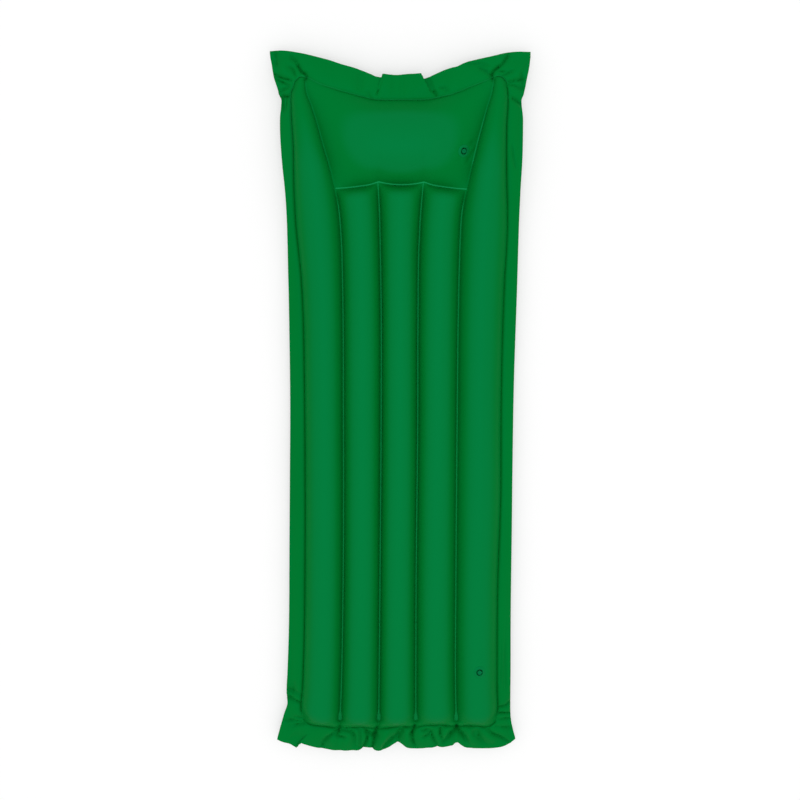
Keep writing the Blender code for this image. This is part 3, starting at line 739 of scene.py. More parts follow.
FOOT_FOLDS = (
    Fold(((-246, -789), (-264, -787)), 7.7, 4.5),
    Fold(((-248, -798), (-290, -797)), 7.2, 4.5, 0.9, 0.4),
    Fold(((-240, -803), (-272, -812)), 8.9, 5, 0.9, 0.3),
    Fold(((-249, -748), (-266, -742), (-287, -733)), 9.2, 4.5, 0.6, 0.8),
    Fold(((-248, -726), (-284, -713)), 7.2, 6),
    Fold(((-265, -690), (-275, -742)), 7.2, 9, 0.2, 0.5),
    Fold(((-157, -822), (-180, -840), (-190, -852), (-196, -870)), 10.1, 5, 0.8, 0.5),
    Fold(((-148, -798), (-150, -812), (-152, -824)), 9.0, 4.5, 0.5, 0.9),
    Fold(((-152, -824), (-157, -833), (-150, -839), (-132, -839)), 7.6, 4, 0.9, 0.4),
    Fold(((-143, -820), (-120, -823), (-112, -836), (-110, -866)), 8.9, 5, 0.7, 0.4),
    Fold(((-98, -818), (-98, -868)), 8.9, 4),
    Fold(((-85, -815), (-78, -832), (-80, -850), (-90, -871)), 12.4, 5, 0.6, 0.9),
    Fold(((-80, -826), (-64, -836)), 10.7, 7, 0.6, 1.0),
    Fold(((-49, -796), (-51, -806), (-57, -824), (-58, -834)), 13.0, 5, 0.4, 0.9),
    Fold(((-60, -832), (-61, -850), (-66, -874)), 13.0, 6, 0.9, 0.8),
    Fold(((6, -817), (1, -833), (-13, -843), (-30, -859), (-38, -872)), 11.5, 7, 0.6, 0.8),
    Fold(((2, -833), (-1, -856)), 8.9, 6, 0.7, 0.7),
    Fold(((10, -815), (10, -823)), 7.7, 4),
    Fold(((43, -796), (42, -812), (35, -829)), 13.0, 4.5, 0.4, 0.8),
    Fold(((36, -829), (38, -848), (45, -866)), 8.9, 4.5, 0.9, 0.3),
    Fold(((62, -818), (82, -819)), 7.2, 5),
    Fold(((62, -838), (78, -833), (84, -825), (88, -836), (93, -849), (102, -866)), 11.3, 4.5, 0.4, 0.5),
    Fold(((108, -812), (108, -830), (113, -842), (118, -856)), 9.2, 4, 0.7, 0.5),
    Fold(((150, -797), (151, -815)), 7.5, 4, 0.6, 0.8),
    Fold(((151, -815), (139, -825), (129, -840), (118, -853)), 12.8, 6.5, 0.9, 0.5),
    Fold(((152, -815), (161, -826), (170, -838), (177, -850)), 12.8, 6.5, 0.9, 0.5),
    Fold(((193, -820), (196, -834)), 6.5, 5),
    Fold(((203, -820), (209, -840), (224, -857)), 8.9, 7, 0.7, 0.6),
    Fold(((230, -816), (240, -827), (262, -839), (282, -850)), 9.2, 4.5, 0.7, 0.6),
    Fold(((250, -808), (300, -818)), 6.5, 5),
    Fold(((256, -757), (276, -754), (288, -742)), 8.9, 4.5),
    Fold(((256, -772), (288, -776)), 10.7, 4),
    Fold(((258, -788), (288, -790)), 7.7, 4),
    Fold(((258, -592), (263, -640), (260, -690)), 3.4, 3.0),
    Fold(((267, -585), (271, -640), (267, -700)), 3.4, 3.0),
    Fold(((272, -620), (274, -706)), 4.2, 5),
    Fold(((-290, -790), (-292, -850)), -3.9, 16),
    Fold(((-172, -822), (-165, -876)), -6.3, 13),
    Fold(((-128, -828), (-135, -874)), -5.4, 11),
    Fold(((-104, -826), (-105, -872)), -3.6, 6),
    Fold(((-28, -822), (-44, -866)), -7.5, 12),
    Fold(((22, -820), (24, -866)), -6.9, 10),
    Fold(((60, -826), (66, -868)), -5.4, 10),
    Fold(((124, -816), (112, -862)), -4.5, 8, 1.0, 0.4),
    Fold(((150, -826), (149, -850)), -3.9, 6, 0.3, 1.0),
    Fold(((184, -820), (196, -860)), -6.0, 11, 0.9, 0.5),
    Fold(((222, -824), (250, -850)), -3.9, 9),
)

VALVE_PUCKERS = (
    Fold(((156, 618), (163, 624), (169, 632), (174, 642)), 8.0, 4.6, 0.2, 0.7),
    Fold(((163, 662), (170, 661), (178, 665)), 6.0, 4.0, 0.3, 0.8),
    Fold(((167, 646), (174, 647)), -2.4, 4.0),
)


@dataclass(frozen=True)
class Skirt:
    """Flat welded border outside the chambers, drooping and gathered."""

    pattern: Pattern
    chambers: Chambers
    side_width: float = 0.030
    end_width: float = 0.055
    droop: float = 0.0080
    crest: float = 0.0050
    crest_reach: float = 0.0026
    side_ruffle: float = 0.0016
    side_ruffle_length: float = 0.31
    side_ruffle_slant: float = 9.0
    creep_in: float = 0.022
    pleats_from: float = 0.004
    folds: tuple[Fold, ...] = HEAD_FOLDS + FOOT_FOLDS
    pleats: tuple[Pleat, ...] = HEAD_PLEATS + FOOT_PLEATS

    def outside(self, x: np.ndarray, y: np.ndarray) -> np.ndarray:
        """Distance outside the chambers' outline, below 0 inside it.

        Args:
            x: Places across the mattress.
            y: Places along the mattress.

        Returns:
            The distance at each place.
        """
        side = np.abs(x) - self.pattern.away(3, x, y)
        head = y - self.pattern.across("head_weld", x)
        foot = self.pattern.across("foot_weld", x) - y
        return np.maximum(side, np.maximum(head, foot))

    def middle(self, x: np.ndarray, y: np.ndarray) -> np.ndarray:
        """Middle plane of the two films.

        Args:
            x: Places across the mattress.
            y: Places along the mattress.

        Returns:
            Points with the skirt's droop, gathers and pleats, on a last axis of three.
        """
        side = np.clip((np.abs(x) - self.pattern.away(3, x, y)) / self.side_width, 0.0, 1.0)
        head = np.clip((y - self.pattern.across("head_weld", x)) / self.end_width, 0.0, 1.0)
        foot = np.clip((self.pattern.across("foot_weld", x) - y) / self.end_width, 0.0, 1.0)
        end = np.maximum(head, foot)
        outside = self.outside(x, y)
        risen = np.maximum(outside + self.pattern.weld_half_width, 0.0)
        crest = self.crest * (1 - np.exp(-risen / self.crest_reach))
        level = self.chambers.level(y) + crest - self.droop * np.maximum(side, end) ** 2
        wave = np.sin(2 * np.pi * y / self.side_ruffle_length + x * self.side_ruffle_slant)
        level = level + side * (1 - end) * self.side_ruffle * wave
        place = np.stack([x, y, level], axis=-1)
        loose = smooth_step((outside + self.creep_in) / self.creep_in)
        for fold in self.folds:
            place[..., 2] -= fold.drop(x, y) * loose
        free = smooth_step(outside / self.pleats_from)
        for pleat in self.pleats:
            near = np.sign(pleat.end[1]) == np.sign(y)
            for axis, move in enumerate(pleat.shift(x, y)):
                place[..., axis] += move * free * near
        return place


# Helpers on meshes


def deselect_all() -> None:
    """Leave edit mode and clear the selection."""
    if bpy.context.mode != "OBJECT":
        bpy.ops.object.mode_set(mode="OBJECT")
    bpy.ops.object.select_all(action="DESELECT")


def points_of(mesh: bpy.types.Mesh) -> np.ndarray:
    """Vertex places of a mesh.

    Args:
        mesh: The mesh.

    Returns:
        One row for each vertex.
    """
    flat = np.zeros(len(mesh.vertices) * 3, np.float32)
    mesh.vertices.foreach_get("co", flat)
    return flat.reshape(-1, 3).astype(float)


def set_points(mesh: bpy.types.Mesh, points: np.ndarray) -> None:
    """Move a mesh's vertices to new places."""
    mesh.vertices.foreach_set("co", points.astype(np.float32).ravel())
    mesh.update()


def centres_of(mesh: bpy.types.Mesh) -> np.ndarray:
    """Middles of a mesh's faces.

    Args:
        mesh: The mesh.

    Returns:
        One row for each face.
    """
    flat = np.zeros(len(mesh.polygons) * 3, np.float32)
    mesh.polygons.foreach_get("center", flat)
    return flat.reshape(-1, 3).astype(float)


def select_faces(piece: bpy.types.Object, chosen: np.ndarray) -> None:
    """Go into edit mode with some of a piece's faces selected and nothing else.

    Args:
        piece: The object.
        chosen: Whether each face is selected.
    """
    deselect_all()
    piece.select_set(True)
    bpy.context.view_layer.objects.active = piece
    bpy.ops.object.mode_set(mode="EDIT")
    bpy.ops.mesh.select_mode(type="FACE")
    bpy.ops.mesh.select_all(action="DESELECT")
    bpy.ops.object.mode_set(mode="OBJECT")
    piece.data.polygons.foreach_set("select", chosen)
    bpy.ops.object.mode_set(mode="EDIT")


def close_up(piece: bpy.types.Object) -> bpy.types.Object:
    """Point all the faces of the piece in edit mode outwards, and leave edit mode.

    Args:
        piece: The object.

    Returns:
        The same object.
    """
    bpy.ops.mesh.select_all(action="SELECT")
    bpy.ops.mesh.normals_make_consistent(inside=False)
    bpy.ops.object.mode_set(mode="OBJECT")
    return piece


def extrude(step: tuple[float, float, float]) -> None:
    """Extrude the selected faces and move what comes out."""
    bpy.ops.mesh.extrude_region_move(TRANSFORM_OT_translate={"value": step})


def finish_mesh(piece: bpy.types.Object, name: str, material: bpy.types.Material, angle: float) -> None:
    """Name a piece, give it its material and shade it smooth up to an angle.

    Args:
        piece: The finished object.
        name: Its name.
        material: Its material.
        angle: Sharpest angle that is shaded smooth, in degrees.
    """
    piece.name = name
    piece.data.name = name
    piece.data.materials.clear()
    piece.data.materials.append(material)
    deselect_all()
    piece.select_set(True)
    bpy.context.view_layer.objects.active = piece
    bpy.ops.object.shade_smooth_by_angle(angle=math.radians(angle))


def spread(first: Callable, last: Callable, fractions: np.ndarray) -> list[Callable]:
    """Lines between two lines, each a function of the place along them.

    Args:
        first: The line at fraction 0.
        last: The line at fraction 1.
        fractions: Where the lines lie between the two.

    Returns:
        One function for each fraction.
    """
    return [lambda value, part=part: first(value) * (1 - part) + last(value) * part for part in fractions]


def eased(count: int, evenness: float) -> np.ndarray:
    """Fractions from 0 to 1 that lie closer together near both ends."""
    even = np.linspace(0.0, 1.0, count + 1)
    return evenness * even + (1 - evenness) * (1 - np.cos(np.pi * even)) / 2


# Films


@dataclass
class Films:
    """The upper and the lower film, welded to each other along the pattern's lines."""

    pattern: Pattern
    chambers: Chambers
    skirt: Skirt
    thickness: float = 0.00025
    weld_gap: float = 0.0005
    flat_size: tuple[float, float] = (0.70, 1.83)
    tube_columns: int = 40
    tube_evenness: float = 0.35
    skirt_columns: int = 24
    foot_share: float = 0.085
    foot_rows: int = 34
    body_rows: int = 22
    head_share: float = 0.07
    head_rows: int = 16
    head_evenness: float = 0.3
    pillow_rows: int = 60
    pillow_evenness: float = 0.45
    foot_skirt_rows: int = 25
    head_skirt_rows: int = 27
    crossing_rounds: int = 12
    smooth_angle: float = 75.0
    valve_places: tuple[tuple[float, float], ...] = ((0.2050, -0.6515), (0.1480, 0.6420))
    hole_radius: float = 0.0092
    hole_reach: float = 0.0120
    finer_reach: float = 0.0108
    hole_cuts: int = 11
    drop_from: float = -0.772
    seam_paleness: float = 0.60
    high_seam_paleness: tuple[float, float, float] = (0.12, 0.60, 0.20)
    drop_paleness: float = 0.35
    side_paleness: float = 0.35
    head_paleness: float = 0.35
    pillow_paleness: float = 1.40
    low_seam_ends: tuple[float, float] = (0.505, 0.025)
    high_seam_starts: tuple[float, float] = (0.606, 0.012)
    high_seam_fades: tuple[float, float] = (0.70, 0.05)
    side_pales: tuple[float, float] = (0.45, 0.3)
    pillow_from: float = 0.56
    swelling: float = 0.0009
    swelling_radius: float = 0.0215
    swelling_width: float = 0.0050
    pucker_from: float = 0.0155
    pucker_ease: float = 0.004
    pucker_to: float = 0.034
    pucker_fade: float = 0.014
    pucker_depth: float = 0.0012
    pucker_count: int = 7
    pucker_turn: float = 0.9
    deepest_pucker: float = 0.5
    on_line: float = 0.00001
    slope_step: float = 0.002
    # Painted highlight on the crowns: where it starts and how far it grows, as shares of the tube's rise.
    highlight_from: float = 0.58
    highlight_over: float = 0.37

    def _columns(self) -> list[Callable]:
        """Lines along the mattress, with three over each weld.

        Returns:
            Functions of the place along the mattress, from left to right.
        """
        lines = self.pattern
        made: list[Callable] = []
        order = [-4, -3, -2, -1, 1, 2, 3, 4]
        for left, right in zip(order, order[1:]):
            skirt = 4 in (abs(left), abs(right))
            even = np.linspace(0, 1, self.skirt_columns + 1)
            fractions = even if skirt else eased(self.tube_columns, self.tube_evenness)
            made += spread(self._offset_line(left, 1), self._offset_line(right, -1), fractions)
            if right != 4:
                made.append(lambda y, k=right: lines.along(k, y))
        return made

    def _offset_line(self, line: int, way: int) -> Callable:
        """A line along the mattress, moved to the edge of the weld that lies on it.

        Args:
            line: The line's number in the pattern.
            way: 1 for the weld's right edge, -1 for its left edge.

        Returns:
            The line as a function of the place along the mattress.
        """
        lines = self.pattern
        if abs(line) == 4:
            return lambda y: lines.along(line, y)
        if abs(line) == 3:
            return lambda y: lines.along(line, y) + way * lines.weld_half_width
        return lambda y: lines.along(line, y) + way * lines.seam_half_width.at(y)

    def _rows(self) -> list[Callable]:
        """Lines across the mattress, with three over each weld.

        Returns:
            Functions of the place across the mattress, from foot to head.
        """
        lines = self.pattern
        half = lines.weld_half_width

        def line(name: str, offset: float = 0.0) -> Callable:
            """One of the pattern's lines, moved along the mattress."""
            return lambda x: lines.across(name, x) + offset

        foot_zone = np.linspace(0.0, self.foot_share, self.foot_rows)
        body = np.linspace(self.foot_share, 1 - self.head_share, self.body_rows)[1:]
        head_zone = 1 - self.head_share * (1 - eased(self.head_rows, self.head_evenness))[1:]
        tubes = np.concatenate([foot_zone, body, head_zone])
        pillow = eased(self.pillow_rows, self.pillow_evenness)
        foot_skirt = np.linspace(0, 1, self.foot_skirt_rows)
        head_skirt = np.linspace(0, 1, self.head_skirt_rows)
        return (spread(line("foot_edge"), line("foot_weld", -half), foot_skirt) + [line("foot_weld")]
                + spread(line("foot_weld", half), line("pillow_weld", -half), tubes) + [line("pillow_weld")]
                + spread(line("pillow_weld", half), line("head_weld", -half), pillow) + [line("head_weld")]
                + spread(line("head_weld", half), line("head_edge"), head_skirt))

    def _crossings(self) -> tuple[np.ndarray, np.ndarray]:
        """Where each line across meets each line along, found by going back and forth between them.

        Returns:
            The places across and along, a row for each line across and a column for each line along.
        """
        across, along = self._rows(), self._columns()
        y = np.zeros((len(across), len(along)))
        x = np.zeros_like(y)
        for _ in range(self.crossing_rounds):
            x = np.stack([line(y[:, k]) for k, line in enumerate(along)], axis=1)
            y = np.stack([line(x[k, :]) for k, line in enumerate(across)], axis=0)
        return x, y

    def _weld_share(self, x: np.ndarray, y: np.ndarray) -> np.ndarray:
        """How pale the welds' pressed lines are.

        Args:
            x: Places across the mattress.
            y: Places along the mattress.

        Returns:
            The share of the welds' pale colour at each place.
        """
        lines = self.pattern
        distance = np.abs(x)
        near = self.on_line
        inner, outer, side = (lines.away(line, x, y) for line in (1, 2, 3))
        seam = np.where(y < self.drop_from, lines.seam_half_width.at(y), 0.0) + near
        foot, head, pillow = (lines.across(name, x) for name in ("foot_weld", "head_weld", "pillow_weld"))
        inner_weld = (np.abs(distance - inner) < seam) & (y > lines.seams_end) & (y < pillow + near)
        outer_weld = (np.abs(distance - outer) < seam) & (y > lines.seams_end) & (y < head)
        side_weld = (np.abs(distance - side) < near) & (y > foot) & (y < head)
        head_weld = (np.abs(y - head) < near) & (distance < side)
        pillow_weld = (np.abs(y - pillow) < near) & (distance < outer)
        seam_share = np.where(y < self.drop_from, self.drop_paleness, self.seam_paleness)
        left, right, last = self.high_seam_paleness
        last_from, last_over = self.high_seam_fades
        high = np.where(x < 0, left, right + (last - right) * smooth_step((y - last_from) / last_over))
        low_end, low_fade = self.low_seam_ends
        high_start, high_fade = self.high_seam_starts
        outer_share = np.where(y < self.pillow_from, seam_share * (1 - smooth_step((y - low_end) / low_fade)),
                               high * smooth_step((y - high_start) / high_fade))
        pale_from, pale_over = self.side_pales
        side_share = smooth_step((y - pale_from) / pale_over) * self.side_paleness * (x < 0)
        share = np.where(inner_weld, seam_share, 0.0)
        share = np.maximum(share, np.where(outer_weld, outer_share, 0.0))
        share = np.maximum(share, np.where(side_weld, side_share, 0.0))
        share = np.maximum(share, np.where(head_weld, self.head_paleness, 0.0))
        return np.maximum(share, np.where(pillow_weld, self.pillow_paleness, 0.0))

    def _crown_highlight_share(self, rise: np.ndarray) -> np.ndarray:
        """Share of the painted highlight on the tubes' crowns, from 0 to 1, growing with the film's rise."""
        return smooth_step((rise / self.chambers.tube_rise - self.highlight_from) / self.highlight_over)

    def _round_valves(self, x: np.ndarray, y: np.ndarray) -> np.ndarray:
        """Rise of the upper film round the valves: a low swelling, and puckers at the pillow valve.

        Args:
            x: Places across the mattress.
            y: Places along the mattress.

        Returns:
            The rise at each place, below 0 in a pucker.
        """
        rise = np.zeros_like(x)
        for place_x, place_y in self.valve_places:
            radius = np.hypot(x - place_x, y - place_y)
            rise += self.swelling * np.exp(-((radius - self.swelling_radius) / self.swelling_width) ** 2)
        place_x, place_y = self.valve_places[1]
        radius = np.hypot(x - place_x, y - place_y)
        angle = np.arctan2(y - place_y, x - place_x)
        beyond = smooth_step((radius - self.pucker_from) / self.pucker_ease)
        band = beyond * smooth_step((self.pucker_to - radius) / self.pucker_fade)
        petals = 0.5 + 0.5 * np.cos(self.pucker_count * angle + self.pucker_turn)
        rise -= self.pucker_depth * band * petals ** 2
        for pucker in VALVE_PUCKERS:
            rise -= pucker.drop(x, y) * beyond
        return rise

    def face(self, x: np.ndarray, y: np.ndarray) -> np.ndarray:
        """Height of the upper film's outer face over the chambers."""
        rise = self.chambers.rise(x, y)
        return self.chambers.level(y) + self.weld_gap / 2 + self.thickness + rise + self._round_valves(x, y)

    def build(self, side: Side, name: str, nodes: tuple[str, ...]) -> bpy.types.Object:
        """Lay one film on the lines, raise it over the chambers and give it its thickness.

        Args:
            side: Which film it is.
            name: The piece's name.
            nodes: The CAD nodes that it stands for.

        Returns:
            The finished film.
        """
        x, y = self._crossings()
        middle = self.skirt.middle(x, y)
        along = np.gradient(middle, axis=1)
        across = np.gradient(middle, axis=0)
        normal = np.cross(along, across)
        normal /= np.linalg.norm(normal, axis=-1, keepdims=True)
        faces = middle + side.value * normal * (self.weld_gap / 2 + self.thickness)
        rise = self.chambers.rise(x, y)
        if side is Side.UPPER:
            rise = rise + np.maximum(self._round_valves(x, y), -self.deepest_pucker * rise) * (rise > 0)
        faces[..., 2] += side.value * rise
        faces[..., 2] = np.maximum(faces[..., 2], 0.0)
        rows, columns = x.shape
        deselect_all()
        bpy.ops.mesh.primitive_grid_add(x_subdivisions=columns - 1, y_subdivisions=rows - 1, size=1.0)
        film = bpy.context.active_object
        set_points(film.data, faces.reshape(-1, 3))
        weld = film.data.attributes.new("weld", "FLOAT", "POINT")
        weld.data.foreach_set("value", self._weld_share(x, y).astype(np.float32).ravel())
        # Share of the painted highlight on the crowns, kept on the mesh for the film's material.
        crown_highlight = film.data.attributes.new("crown_highlight", "FLOAT", "POINT")
        crown_highlight.data.foreach_set("value", self._crown_highlight_share(self.chambers.rise(x, y)).astype(np.float32).ravel())
        if side is Side.LOWER:
            film.data.flip_normals()
        else:
            self._cut_valve_holes(film)
        wall = film.modifiers.new("thickness", "SOLIDIFY")
        wall.thickness = self.thickness
        wall.offset = -1.0
        bpy.ops.object.modifier_apply(modifier=wall.name)
        finish_mesh(film, name, FILM_FINISH.material(), self.smooth_angle)
        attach(film, "mattress")
        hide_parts(*nodes)
        return film

    def frame_at(self, place: tuple[float, float]) -> Matrix:
        """Place and turn of what stands square on the upper film, leaving the valves' own swelling out.

        Args:
            place: Where it stands, across and along the mattress.

        Returns:
            The frame, with +Z away from the film and its origin on the film's outer face.
        """
        step = self.slope_step
        x, y = place
        form = self.chambers

        def height(at_x: float, at_y: float) -> float:
            """Height of the film's outer face."""
            level = form.level(np.array([at_y])) + form.rise(np.array([at_x]), np.array([at_y]))
            return float(level[0]) + self.weld_gap / 2 + self.thickness

        slope_x = (height(x + step, y) - height(x - step, y)) / (2 * step)
        slope_y = (height(x, y + step) - height(x, y - step)) / (2 * step)
        axis = Vector((-slope_x, -slope_y, 1.0)).normalized()
        across = Vector((0.0, 1.0, 0.0)).cross(axis).normalized()
        turn = Matrix((across, axis.cross(across), axis)).transposed().to_4x4()
        return Matrix.Translation(Vector((x, y, height(x, y)))) @ turn

    def _under(self, mesh: bpy.types.Mesh, place: tuple[float, float], reach: float) -> np.ndarray:
        """Which faces reach into a square round a place.

        Args:
            mesh: The upper film's mesh, still a single sheet.
            place: The square's middle.
            reach: Half the square's side.

        Returns:
            Whether each face does.
        """
        corners = np.zeros(len(mesh.loops), np.int32)
        mesh.loops.foreach_get("vertex_index", corners)
        starts = np.zeros(len(mesh.polygons), np.int32)
        mesh.polygons.foreach_get("loop_start", starts)
        away = points_of(mesh)[corners, :2] - np.array(place)
        low = np.minimum.reduceat(away, starts, axis=0)
        high = np.maximum.reduceat(away, starts, axis=0)
        return ((low < reach) & (high > -reach)).all(axis=1)

    def _cut_valve_holes(self, film: bpy.types.Object) -> None:
        """Make the sheet finer under each valve's flange and cut a round hole there for its bore.

        Args:
            film: The upper film, still a single sheet.
        """
        mesh = film.data
        for place in self.valve_places:
            for offset in np.linspace(-self.hole_reach, self.hole_reach, self.hole_cuts):
                select_faces(film, self._under(mesh, place, self.hole_reach))
                bpy.ops.mesh.bisect(plane_co=(0.0, place[1] + float(offset), 0.0), plane_no=(0.0, 1.0, 0.0))
                bpy.ops.object.mode_set(mode="OBJECT")
            select_faces(film, self._under(mesh, place, self.finer_reach))
            bpy.ops.mesh.subdivide(number_cuts=1)
            bpy.ops.object.mode_set(mode="OBJECT")
            frame = np.array(self.frame_at(place))
            local = (centres_of(mesh) - frame[:3, 3]) @ frame[:3, :3]
            select_faces(film, np.hypot(local[:, 0], local[:, 1]) < self.hole_radius)
            bpy.ops.mesh.delete(type="FACE")
            bpy.ops.object.mode_set(mode="OBJECT")
            self._round_hole(film, place)

    def _round_hole(self, film: bpy.types.Object, place: tuple[float, float]) -> None:
        """Draw the rim of a hole onto its circle round the valve's axis.

        Args:
            film: The upper film, with the hole's faces taken away.
            place: The valve's place.
        """
        mesh = film.data
        frame = np.array(self.frame_at(place))
        used = np.zeros(len(mesh.loops), np.int32)
        mesh.loops.foreach_get("edge_index", used)
        ends = np.zeros(len(mesh.edges) * 2, np.int32)
        mesh.edges.foreach_get("vertices", ends)
        rim = np.unique(ends.reshape(-1, 2)[np.bincount(used, minlength=len(mesh.edges)) == 1])
        points = points_of(mesh)
        local = (points[rim] - frame[:3, 3]) @ frame[:3, :3]
        radius = np.hypot(local[:, 0], local[:, 1])
        near = radius < self.hole_reach
        local[near, :2] *= (self.hole_radius / radius[near])[:, None]
        points[rim[near]] = local[near] @ frame[:3, :3].T + frame[:3, 3]
        set_points(mesh, points)


# Valves


@dataclass
class Valve:
    """Push-in valve with its stopper, pushed in flush and standing square on the upper film.

    Heights are along the valve's own axis, from the film's outer face. The beads, rims, ribs and tips are
    small profiles, each pair so far outwards and upwards from where the profile sits. In cap_dish the first
    number is a share of the cap's radius instead. Each of tab_steps is a length and the shares to which the
    tab's width and height shrink along it.
    """

    films: Films
    name: str
    place: tuple[float, float]
    bodies: tuple[str, str, str]
    segments: int = 64
    merge_within: float = 1e-6
    flange_radius: float = 0.0150
    flange_bore: float = 0.0088
    flange_thickness: float = 0.0008
    flange_bead: tuple[tuple[float, float], ...] = (
        (0.0, 0.0002), (0.0004, 0.0005), (0.0010, 0.0005), (0.0014, 0.0001), (0.0022, 0.0))
    flange_rim: tuple[tuple[float, float], ...] = (
        (-0.0020, 0.0), (-0.0017, -0.0002), (-0.0006, -0.0003), (-0.0002, -0.0004))
    seat_gap: float = 0.0003
    edge: float = 0.0002
    stem_radius: float = 0.0050
    stem_bead_radius: float = 0.0055
    stem_bead_depth: float = 0.0014
    stem_bead_top: tuple[tuple[float, float], ...] = ((-0.0004, 0.0), (-0.0001, -0.0002), (0.0, -0.0005))
    stem_bead_foot: tuple[tuple[float, float], ...] = ((0.0, 0.0005), (-0.0002, 0.0002))
    stem_bore: float = 0.0036
    mouth_edge: float = 0.0003
    stem_top: float = 0.0006
    stem_bottom: float = -0.0150
    rib_heights: tuple[float, ...] = (-0.0045, -0.0075, -0.0105)
    rib: tuple[tuple[float, float], ...] = ((0.0, 0.0004), (0.0001, 0.0), (0.0, -0.0004))
    collar_radius: float = 0.0053
    collar_height: float = 0.0014
    neck_wall: float = 0.0007
    neck_path: tuple[tuple[float, float], ...] = (
        (0.00815, 0.0008), (0.00815, -0.0016), (0.0071, -0.0090), (0.0067, -0.0122), (0.0060, -0.0143))
    pin_radius: float = 0.0032
    pin_tip_radius: float = 0.0029
    pin_length: float = 0.0075
    pin_tip: tuple[tuple[float, float], ...] = ((-0.0006, 0.0), (-0.0001, 0.0003), (0.0, 0.0008))
    pin_widest: float = 0.45
    pin_step: float = 0.0001
    cap_radius: float = 0.0055
    cap_thickness: float = 0.0012
    cap_rim: tuple[tuple[float, float], ...] = ((0.0, -0.0007), (-0.0001, -0.0004), (-0.0004, -0.0002))
    cap_dish: tuple[tuple[float, float], ...] = (
        (0.80, -0.0001), (0.72, -0.0002), (0.60, -0.0005), (0.40, -0.0005), (0.30, -0.0002), (0.18, -0.0001))
    cap_side_margins: tuple[float, float] = (0.0001, 0.0004)
    cap_side_share: float = 0.90
    tab_half_share: float = 0.42
    tab_steps: tuple[tuple[float, float, float], ...] = ((0.0011, 0.80, 0.75), (0.0004, 0.70, 0.60))
    lug_half_width: float = 0.0005
    lug_length: float = 0.0009
    flap_radius: float = 0.0044
    flap_thickness: float = 0.0005
    flap_foot: tuple[tuple[float, float], ...] = ((-0.0003, 0.0), (0.0, 0.0001))
    flap_top: tuple[tuple[float, float], ...] = ((0.0, -0.0001), (-0.0001, 0.0))
    laying_rounds: int = 8
    smooth_angle: float = 35.0
    strap_width: float = 0.0014
    strap_thickness: float = 0.0005
    strap_path: tuple[tuple[float, float, float], ...] = (
        (-0.00550, -0.0026, -0.0012), (-0.00580, -0.0024, -0.0031), (-0.00598, -0.0014, -0.0048),
        (-0.00606, 0.0, -0.0054), (-0.00598, 0.0014, -0.0048), (-0.00600, 0.0024, -0.0028),
        (-0.00605, 0.0027, -0.0006), (-0.00605, 0.0027, 0.0014))
    strap_sections: int = 29
    strap_corners: int = 12

    def frame(self) -> Matrix:
        """Place and turn of the valve: its axis stands square on the film."""
        return self.films.frame_at(self.place)

    def _corners(self, rounding: tuple[tuple[float, float], ...], radius: float,
                 height: float) -> list[tuple[float, float]]:
        """Corners of a section, counted from the corner that they round."""
        return [(radius + outwards, height + upwards) for outwards, upwards in rounding]

    def _lathe(self, profile: list[tuple[float, float]]) -> bpy.types.Object:
        """Spin a closed section that stands clear of the axis about the valve's axis.

        Args:
            profile: Radius and height of each corner of the section.

        Returns:
            The ring-shaped object, in the valve's own frame.
        """
        deselect_all()
        bpy.ops.mesh.primitive_circle_add(vertices=len(profile), radius=1.0, fill_type="NOTHING")
        ring = bpy.context.active_object
        set_points(ring.data, np.array([(radius, 0.0, height) for radius, height in profile]))
        bpy.ops.object.mode_set(mode="EDIT")
        bpy.ops.mesh.select_all(action="SELECT")
        bpy.ops.mesh.spin(steps=self.segments, angle=2 * math.pi, center=(0, 0, 0), axis=(0, 0, 1))
        bpy.ops.mesh.select_all(action="SELECT")
        bpy.ops.mesh.remove_doubles(threshold=self.merge_within)
        return close_up(ring)

    def _stack(self, rings: list[tuple[float, float]]) -> bpy.types.Object:
        """Draw a solid up from a disc, ring by ring.

        Args:
            rings: Radius and height of each ring, from the lowest one.

        Returns:
            The solid, in the valve's own frame.
        """
        deselect_all()
        radius, height = rings[0]
        bpy.ops.mesh.primitive_circle_add(vertices=self.segments, radius=radius, fill_type="NGON",
                                          location=(0.0, 0.0, height))
        solid = bpy.context.active_object
        bpy.ops.object.transform_apply(location=True, rotation=True, scale=True)
        bpy.ops.object.mode_set(mode="EDIT")
        bpy.ops.mesh.select_mode(type="FACE")
        bpy.ops.mesh.select_all(action="SELECT")
        for next_radius, next_height in rings[1:]:
            extrude((0.0, 0.0, next_height - height))
            ratio = next_radius / radius
            bpy.ops.transform.resize(value=(ratio, ratio, 1.0), center_override=(0.0, 0.0, 0.0))
            radius, height = next_radius, next_height
        return close_up(solid)

    def _settle(self, piece: bpy.types.Object, part: str, finish: VinylFinish,
                body: str | None) -> bpy.types.Object:
        """Place a piece in the row frame, dress it, let it ride on its body where it has one, and let it
        stand for its CAD node.

        Args:
            piece: The piece, in the valve's own frame.
            part: Which part of the valve it is.
            finish: Its finish.
            body: The CAD body that it rides on, or None where it lies between two and rides on neither.

        Returns:
            The same piece.
        """
        piece.data.transform(self.frame())
        finish_mesh(piece, f"{self.name}_{part}_fine", finish.material(), self.smooth_angle)
        if body is not None:
            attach(piece, body)
        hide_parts(f"{self.name}_{part}")
        return piece

